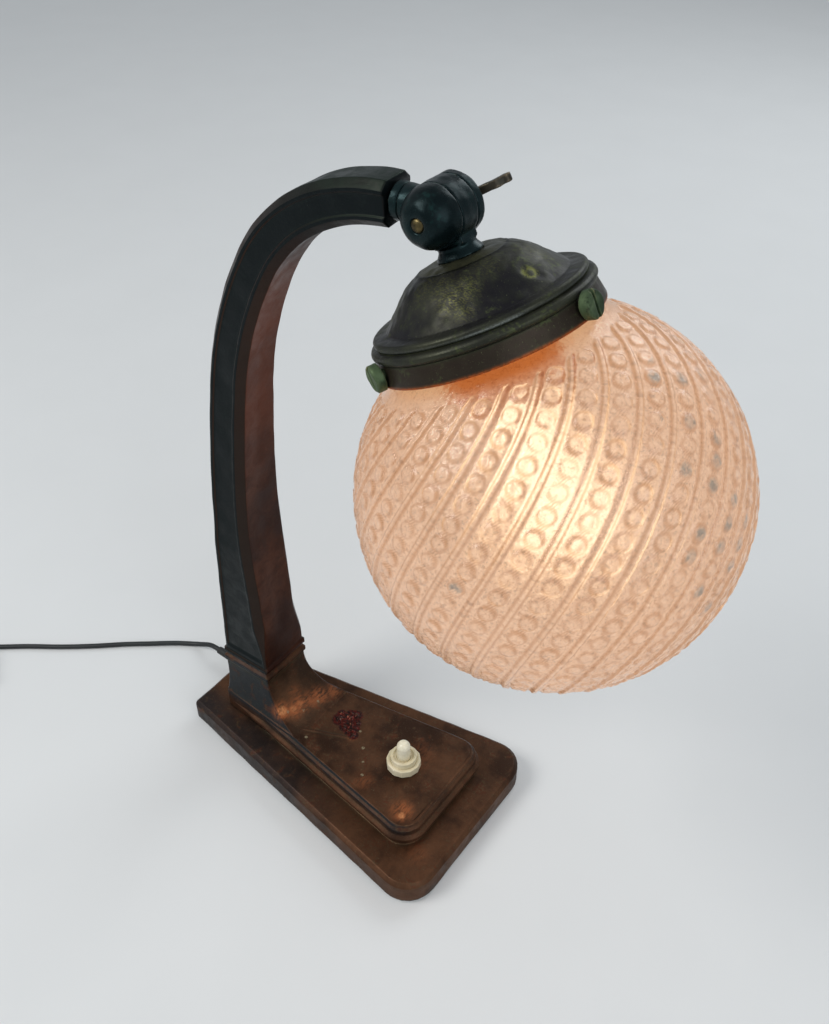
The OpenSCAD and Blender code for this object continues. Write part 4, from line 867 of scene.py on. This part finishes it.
add_base()
add_arm()
add_gallery()
globe, is_inside = add_globe()
add_spring()
worn("knuckle_fork", "fork_worn", "stand", "knuckle_bronze", 0.42, rough=0.05, seed=31)
worn("knuckle_head", "barrel_worn", "head", "knuckle_bronze", 0.42, rough=0.05, seed=32)
worn("arm_nipple", "nipple_worn", "stand", "knuckle_bronze", 0.42, rough=0.04, seed=33)
worn("wing_nut", "wings_worn", "wing_nut", "worn_brass", 0.35, rough=0.07, seed=34)
worn("switch_nut", "nut_worn", "stand", "ivory", 0.3, 4)
worn("switch_body", "collar_worn", "stand", "ivory", 0.3)
for i, k in enumerate(("front", "left", "right")):
    worn(f"gallery_screw_{k}", f"screw_{k}_worn", f"screw_{k}", "screw_patina", 0.3, rough=0.06, seed=40 + i)


# Materials

class Nodes:
    """A tree of shader nodes, written as a few short calls."""

    def __init__(self, tree):
        self.tree = tree
        tree.nodes.clear()

    def put(self, socket, value):
        """Links an output to the socket, or gives it a number, vector or colour."""
        if isinstance(value, bpy.types.NodeSocket):
            self.tree.links.new(value, socket)
        else:
            is_colour = isinstance(value, tuple) and len(socket.default_value) == 4
            socket.default_value = (*value, 1) if is_colour else value

    def node(self, kind, settings=None, **inputs):
        node = self.tree.nodes.new("ShaderNode" + kind)
        for key, value in (settings or {}).items():
            setattr(node, key, value)
        for key, value in inputs.items():
            self.put(node.inputs[key.replace("_", " ")], value)
        return node

    def joined(self, kind, settings, values, result=0):
        """An output of a node whose inputs share a name, from values by input number."""
        node = self.node(kind, settings)
        for number, value in values.items():
            self.put(node.inputs[number], value)
        return node.outputs[result]

    def math(self, operation, a, b):
        return self.joined("Math", {"operation": operation}, {0: a, 1: b})

    def times(self, a, b):
        return self.math("MULTIPLY", a, b)

    def mix(self, factor, a, b):
        return self.joined("Mix", {"data_type": "RGBA"}, {0: factor, 6: a, 7: b}, 2)

    def over(self, colour, *layers):
        """A colour with others laid over it, each given by its share and itself."""
        for share, paint in layers:
            colour = self.mix(share, colour, paint)
        return colour


class Shader(Nodes):
    """A procedural material."""

    def __init__(self, name):
        self.material = bpy.data.materials.new(name)
        self.material.use_nodes = True
        super().__init__(self.material.node_tree)
        self.coords = self.node("TexCoord").outputs["Object"]

    def noise(self, size, detail, rough, stretch=None, distort=0.0):
        coords = self.coords
        if stretch:
            coords = self.node("Mapping", Vector=coords, Scale=stretch).outputs["Vector"]
        return self.node("TexNoise", Vector=coords, Scale=1 / (size * MM), Detail=detail, Roughness=rough,
                         Distortion=distort).outputs["Fac"]

    def cells(self, size):
        return self.node("TexVoronoi", Vector=self.coords, Scale=1 / (size * MM)).outputs["Distance"]

    def ramp(self, value, low, high, start=0.0, end=1.0):
        return self.node("MapRange", {"interpolation_type": "SMOOTHSTEP"}, Value=value,
                         From_Min=low, From_Max=high, To_Min=start, To_Max=end).outputs["Result"]

    def value(self, name):
        """A number that store() keeps at each point."""
        return self.node("Attribute", {"attribute_name": name}).outputs["Fac"]

    def bump(self, height, strength, distance, **under):
        return self.node("Bump", Height=height, Strength=strength, Distance=distance * MM,
                         **under).outputs["Normal"]

    def finish(self, shader):
        self.node("OutputMaterial", Surface=shader)
        return self.material

    def surface(self, **inputs):
        return self.finish(self.node("BsdfPrincipled", **inputs).outputs[0])


def srgb(r, g, b):
    """Linear colour of an sRGB one given in 0 to 255."""
    return tuple((c / 255 / 12.92) if c <= 10 else ((c / 255 + 0.055) / 1.055) ** 2.4 for c in (r, g, b))


def old_bronze(name, colours, patina_share, layers=lambda s: (), rough=0.46, metal=0.55, wear_from=0.25,
               speckle=1.0):
    """Browned bronze: uneven colour, patina in hollows and spots, bare metal along worn edges."""
    dark, light, side, bare, patina = (srgb(*colour) for colour in colours)
    s = Shader(name)
    s.broad = s.noise(28, 5, 0.6)
    s.medium = s.noise(7, 6, 0.62, distort=0.4)
    s.fine = s.noise(1.3, 5, 0.6)
    grain = s.noise(0.42, 3, 0.6)
    spots = s.times(s.ramp(s.medium, 0.5, 0.66), s.ramp(s.fine, 0.46, 0.6))
    cover = s.math("ADD", s.times(spots, patina_share),
                   s.times(s.value("hollow"), min(1.0, patina_share + 0.25)))
    worn_edge = s.times(s.ramp(s.value("edge"), wear_from, 0.9), s.ramp(s.medium, 0.36, 0.6))
    worn_edge = s.times(worn_edge, s.ramp(s.fine, 0.3, 0.55, 0.35, 1.0))
    flecks = s.times(s.ramp(grain, 0.66, 0.76), 0.5 * speckle)
    # The side colour is painted shade and reflection on the side faces of the base and arm; on the arm's end
    # and the gallery's lowest band it is a plain colour
    colour = s.over(dark, (s.ramp(s.broad, 0.38, 0.62), light),
                    (s.times(s.ramp(s.medium, 0.42, 0.68), 0.55), dark), (s.value("tone"), side),
                    (s.math("MINIMUM", cover, 0.85), patina), *layers(s), (worn_edge, bare),
                    (flecks, tuple(min(1, 2.6 * c + 0.012) for c in patina)))
    gloss = s.math("ADD", s.ramp(s.medium, 0.3, 0.7, rough - 0.08, rough + 0.12), s.times(worn_edge, -0.12))
    gloss = s.math("SUBTRACT", gloss, s.times(s.value("lump"), 0.2))
    pits = s.ramp(s.cells(1.6), 0.0, 0.22)
    height = s.math("ADD", s.times(s.fine, 0.7), s.times(pits, 0.5))
    normal = s.bump(height, 0.35, 0.18, Normal=s.bump(s.medium, 0.25, 0.5))
    return s.surface(Base_Color=colour, Metallic=metal, Roughness=gloss, Specular_IOR_Level=0.14,
                     Normal=normal)


def base_layers(s):
    """Copper where hands and the casting's wear show it, paler copper at the strongest marks as a painted
    highlight, dark red lumps and pale dots.
    """
    yield s.times(s.ramp(s.medium, 0.52, 0.7), 0.45), srgb(98, 52, 34)
    copper = s.value("copper")
    streaks = s.noise(2.2, 4, 0.65, stretch=(2.4, 0.7, 1.0))
    blotch = s.ramp(s.math("ADD", s.times(s.medium, 0.4), s.times(streaks, 0.6)), 0.36, 0.58)
    yield s.times(copper, blotch), srgb(168, 98, 60)
    # Pale copper at the heart of the strongest marks: worn metal lightened by a painted highlight
    yield s.times(s.ramp(copper, 0.7, 1.0), s.ramp(s.fine, 0.36, 0.6, 0.3, 0.85)), srgb(206, 140, 92)
    red = s.over(srgb(80, 28, 22), (s.ramp(s.noise(1.8, 3, 0.6), 0.4, 0.6), srgb(40, 26, 24)),
                 (s.ramp(s.noise(0.8, 3, 0.6), 0.6, 0.68, 0.0, 0.5), srgb(116, 80, 72)))
    yield s.ramp(s.value("lump"), 0.05, 0.4), red
    pale = s.ramp(s.value("pale"), 0.3, 0.7)
    yield s.times(pale, s.ramp(s.noise(0.5, 3, 0.6), 0.36, 0.52)), srgb(140, 130, 104)


def arm_layers(s):
    """Painted warm light, redder along the middle of the arm's front; painted shade, grey-brown, on the
    chamfers; green on top near its end.
    """
    reach = s.value("reach")
    # Painted light: the lamp's warm light on the front, along the arm's middle and away from its sides
    painted_light = s.times(s.ramp(reach, 0.34, 0.6), s.ramp(reach, 0.95, 0.72))
    painted_light = s.times(painted_light, s.math("SUBTRACT", 1.0, s.value("tone")))
    yield s.times(painted_light, s.ramp(s.broad, 0.3, 0.6, 0.6, 1.0)), srgb(100, 54, 36)
    # Painted shade on the chamfers
    yield s.times(s.value("strip"), 0.8), srgb(52, 41, 35)
    yield s.times(s.value("top"), s.ramp(s.medium, 0.3, 0.6, 0.5, 0.9)), srgb(28, 40, 32)


def gallery_layers(s):
    """Green patches, disc and ring; painted shade in the crease round the disc; an orange painted glow of the
    lit globe along the rim; a painted highlight, with wear, along the upper bead.
    """
    crumbs = s.noise(0.9, 4, 0.65, stretch=(1.0, 2.2, 0.7))
    yield s.times(s.times(s.value("leaf"), s.ramp(crumbs, 0.48, 0.6)), 0.85), srgb(88, 88, 50)
    yield s.times(s.value("disc"), s.ramp(s.medium, 0.3, 0.6, 0.35, 0.75)), srgb(70, 70, 50)
    yield s.times(s.value("ring"), s.ramp(s.fine, 0.4, 0.56, 0.15, 0.85)), srgb(104, 106, 48)
    # Painted shade in the crease
    yield s.times(s.value("crease"), 0.9), srgb(12, 12, 11)
    # Painted glow of the lit globe along the rim
    yield s.times(s.value("rim"), s.ramp(s.fine, 0.35, 0.6, 0.5, 1.0)), srgb(168, 84, 40)
    # Painted highlight, with wear, along the upper bead
    painted_light = s.times(s.value("bright"), s.ramp(s.noise(0.5, 3, 0.6), 0.34, 0.56, 0.35, 1.0))
    yield s.times(painted_light, 0.85), srgb(150, 156, 150)


GLOW = (0.78, 0.485, 0.31)
AMBER = (0.52, 0.15, 0.025)


def plain_metal(name, colour, dull, rough, shine=0.0):
    """Clean metal; with a shine, metal close to the lit bulb, in its warm light."""
    s = Shader(name)
    fine = s.noise(1.5 if shine else 2.0, 5, 0.6)
    gloss = rough if shine else s.ramp(fine, 0.3, 0.7, rough - 0.06, rough + 0.12)
    glow = dict(Emission_Color=AMBER, Emission_Strength=shine) if shine else {}
    tint = s.mix(s.ramp(fine, 0.35, 0.68), srgb(*colour), srgb(*dull))
    return s.surface(Base_Color=tint, Metallic=0.9 if shine else 1.0, Roughness=gloss,
                     Normal=s.bump(fine, 0.15, 0.1), **glow)


def plain_soft(name, colour, shade, rough, size=1.2, bump=0.2, coat=0.0):
    s = Shader(name)
    fine = s.noise(size, 5, 0.6)
    shade = srgb(*shade)
    tint = s.over(srgb(*colour), (s.ramp(s.noise(size * 9, 3, 0.5), 0.35, 0.65), shade),
                  (s.times(s.ramp(fine, 0.5, 0.7), 0.3), shade))
    return s.surface(Base_Color=tint, Roughness=s.ramp(fine, 0.3, 0.7, rough - 0.05, rough + 0.1),
                     Coat_Weight=coat, Normal=s.bump(fine, bump, 0.12))


def pressed_glass():
    """The globe's outer face: clear glass with painted shade, a warmer darker tint, on the steep sides of its
    relief, and painted blue-grey in the clear dots for the surroundings seen through them.
    """
    s = Shader("globe_clear")
    crumple = s.ramp(s.noise(1.3, 4, 0.7, distort=0.8), 0.5, 0.66, 0.0, 0.75)
    patchy = s.ramp(s.noise(2.6, 3, 0.6), 0.4, 0.6, 0.55, 1.0)
    # Painted shade: a darker warm tint on the steep sides of the relief
    tint = s.over((1.0, 0.94, 0.88), (s.ramp(s.value("slope"), 0.12, 0.9, 0.0, 0.95), (0.56, 0.36, 0.22)),
                  # Painted light: blue-grey in the clear dots, for the surroundings seen through them
                  (crumple, (0.62, 0.45, 0.33)), (s.times(s.value("clear"), patchy), (0.20, 0.29, 0.38)))
    return s.surface(Base_Color=tint, Roughness=0.06, IOR=1.46, Transmission_Weight=1.0,
                     Normal=s.bump(s.noise(1.5, 4, 0.62), 0.6, 0.5))


def frosted_inside():
    """The globe's inner face: satin glass whose warm glow is painted light, an emission for the bulb's light,
    mottled lighter and darker; near the shoulder it is tinted amber, a painted glow of the lit holder seen
    through it.
    """
    s = Shader("globe_satin")
    grain = s.noise(2.4, 5, 0.65)
    crumbs = s.noise(1.1, 5, 0.7, distort=0.6)
    glow = s.over(GLOW, (s.ramp(s.noise(16, 3, 0.5), 0.35, 0.65), tuple(1.1 * c for c in GLOW)),
                  (s.ramp(crumbs, 0.5, 0.62, 0.0, 0.9), (1.0, 0.70, 0.50)),
                  (s.ramp(crumbs, 0.47, 0.36, 0.0, 0.9), (0.34, 0.19, 0.12)))
    shoulder = s.value("shoulder")
    # Painted glow: amber near the shoulder, where the lit holder shows through
    tint = s.mix(shoulder, (1.0, 0.90, 0.80), (1.0, 0.66, 0.36))
    clear = s.node("BsdfPrincipled", Base_Color=tint, Roughness=0.3, IOR=1.25,
                   Transmission_Weight=1.0, Normal=s.bump(grain, 0.4, 0.5)).outputs[0]
    light = s.node("Emission", Color=glow, Strength=1.0).outputs[0]
    share = s.ramp(shoulder, 0.0, 1.0, 0.54, 0.05)
    return s.finish(s.joined("MixShader", {}, {0: share, 1: clear, 2: light}))


def lit_bulb():
    """The bulb: brightest in the middle of its glass."""
    s = Shader("bulb_lit")
    facing = s.node("LayerWeight", Blend=0.5).outputs["Facing"]
    colour = s.mix(s.ramp(facing, 0.02, 0.4), (1.0, 0.90, 0.66), (1.0, 0.68, 0.38))
    return s.surface(Base_Color=(0.95, 0.9, 0.8), Roughness=0.4, Emission_Color=colour,
                     Emission_Strength=s.ramp(facing, 0.0, 0.34, 1.7, 0.3))


def cord_cover():
    s = Shader("cord_cover")
    tint = s.mix(s.ramp(s.noise(14, 3, 0.5), 0.35, 0.65), srgb(22, 26, 28), srgb(32, 36, 37))
    return s.surface(Base_Color=tint, Roughness=0.5, Normal=s.bump(s.noise(0.7, 4, 0.6), 0.3, 0.1))


# Colours are sRGB in 0 to 255; a bronze's are dark, light, side (painted shade and reflection on side faces),
# bare and patina
MATERIALS = {
    "dark_bronze": old_bronze(
        "bronze_base", [(54, 36, 26), (92, 62, 43), (39, 42, 45), (112, 84, 62), (80, 80, 60)], 0.5,
        base_layers, speckle=1.8),
    "arm_bronze": old_bronze(
        "bronze_arm", [(50, 26, 18), (78, 43, 27), (15, 22, 24), (84, 72, 60), (40, 50, 46)], 0.2,
        arm_layers, rough=0.4, wear_from=0.4),
    "knuckle_bronze": old_bronze(
        "bronze_knuckle", [(15, 26, 28), (28, 44, 46), (20, 30, 32), (80, 74, 62), (30, 58, 56)], 0.5,
        rough=0.28, wear_from=0.45),
    "gallery_patina": old_bronze(
        "bronze_gallery", [(34, 33, 36), (56, 56, 48), (50, 42, 36), (112, 112, 94), (70, 76, 50)], 0.75,
        gallery_layers, rough=0.4, wear_from=0.5, speckle=2.0),
    "screw_patina": old_bronze(
        "bronze_screw", [(40, 54, 38), (92, 110, 78), (56, 76, 54), (140, 132, 96), (36, 46, 32)], 1.0,
        rough=0.5, metal=0.3),
    "worn_brass": old_bronze(
        "brass_worn", [(38, 38, 36), (66, 61, 52), (60, 56, 48), (140, 124, 102), (40, 48, 42)], 0.4,
        rough=0.36, metal=0.6, wear_from=0.1),
    "contact_brass": plain_metal("brass_contact", (190, 158, 88), (140, 112, 62), 0.32),
    "steel": plain_metal("steel_screw", (150, 150, 150), (105, 102, 98), 0.35),
    "steel_plate": plain_metal("steel_cover", (88, 90, 92), (64, 62, 60), 0.45),
    "filament": plain_metal("filament", (230, 180, 120), (200, 150, 90), 0.4),
    "holder_metal": plain_metal("holder_steel", (170, 120, 70), (120, 84, 50), 0.35, 0.55),
    "bulb_cap": plain_metal("cap_metal", (180, 150, 110), (140, 110, 80), 0.3, 0.8),
    "felt": plain_soft("felt_green", (38, 62, 44), (28, 46, 34), 0.92, 0.5, 0.8),
    "rubber": plain_soft("rubber_black", (34, 34, 33), (24, 24, 24), 0.6),
    "fibre": plain_soft("fibre_tan", (150, 116, 80), (118, 88, 60), 0.7),
    "wire_red": plain_soft("wire_red", (140, 40, 34), (104, 30, 28), 0.45),
    "wire_blue": plain_soft("wire_blue", (40, 56, 120), (30, 40, 90), 0.45),
    "ivory": plain_soft("ivory", (230, 219, 190), (206, 194, 160), 0.36, 1.4, 0.1, 0.2),
    "ivory_button": plain_soft("ivory_button", (238, 232, 210), (218, 208, 178), 0.3, 1.4, 0.08, 0.3),
    "porcelain": plain_soft("porcelain", (232, 230, 222), (214, 210, 200), 0.2, 3.0, 0.05, 0.4),
    "tie": plain_soft("tie_black", (30, 30, 30), (20, 20, 20), 0.55, 0.8),
    "plug_brown": plain_soft("plug_brown", (62, 36, 26), (44, 26, 20), 0.3, 2.0, 0.05, 0.3),
    "bulb_glass": lit_bulb(),
    "globe_glass": pressed_glass(),
    "cord": cord_cover(),
}


def dress(obj, *materials):
    obj.data.materials.clear()
    for material in materials:
        obj.data.materials.append(material)


node_slots = {part["node"]: part["material_slot"] for part in frame["record"]["subparts"]}
for obj, slot in [(obj, node_slots[node]) for node, obj in frame["nodes"].items()] + pieces:
    dress(obj, MATERIALS[slot])
dress(frame["nodes"]["hinge_bolt"], plain_metal("brass_old", (104, 92, 62), (62, 56, 40), 0.38))
dress(globe, MATERIALS["globe_glass"], frosted_inside())
globe.data.polygons.foreach_set("material_index", is_inside.astype(np.int32))


# Floor, light and background

def stage_material():
    s = Shader("floor_pale")
    light = s.node("LightPath")
    seen = s.math("MAXIMUM", light.outputs["Is Camera Ray"],
                  s.math("MAXIMUM", light.outputs["Is Glossy Ray"], light.outputs["Is Transmission Ray"]))
    colour = s.mix(s.noise(60, 3, 0.5), (0.60, 0.61, 0.61), (0.63, 0.64, 0.64))
    return s.surface(Base_Color=colour, Roughness=0.9, Specular_IOR_Level=0.1,
                     Emission_Color=(0.9, 0.92, 0.93), Emission_Strength=s.times(seen, 0.10))


def add_floor():
    far = 3.0
    floor = bpy.data.meshes.new("floor")
    floor.from_pydata([(-far, -far, 0), (far, -far, 0), (far, far, 0), (-far, far, 0)], [], [(0, 1, 2, 3)])
    floor.materials.append(stage_material())
    add_object("floor", floor)


def area_light(name, place, aim, size, power, colour):
    data = bpy.data.lights.new(name, "AREA")
    data.shape = "DISK"
    data.size = size
    data.energy = power
    data.color = colour
    lamp = add_object(name, data)
    lamp.location = place
    lamp.rotation_euler = (Vector(place) - Vector(aim)).to_track_quat("Z", "Y").to_euler()


def add_world():
    """A pale grey for the camera and through glass, and a darker one as light."""
    world = bpy.data.worlds.new("studio")
    bpy.context.scene.world = world
    world.use_nodes = True
    w = Nodes(world.node_tree)
    light = w.node("LightPath")
    seen = w.math("MAXIMUM", light.outputs["Is Camera Ray"], light.outputs["Is Transmission Ray"])
    colour = w.mix(seen, (0.42, 0.45, 0.48), (0.80, 0.82, 0.84))
    w.node("OutputWorld", Surface=w.node("Background", Color=colour, Strength=0.9).outputs[0])


add_floor()
add_world()
area_light("key_light", (-0.55, -0.75, 1.05), (0.0, 0.0, 0.15), 0.7, 9.0, (1.0, 0.98, 0.95))
area_light("fill_light", (0.95, -0.35, 0.75), (0.05, 0.0, 0.15), 0.9, 4.0, (0.94, 0.97, 1.0))
area_light("back_light", (0.1, 1.1, 0.9), (0.05, 0.0, 0.2), 0.8, 4.5, (0.95, 0.98, 1.0))
bpy.context.scene.view_settings.view_transform = "Standard"
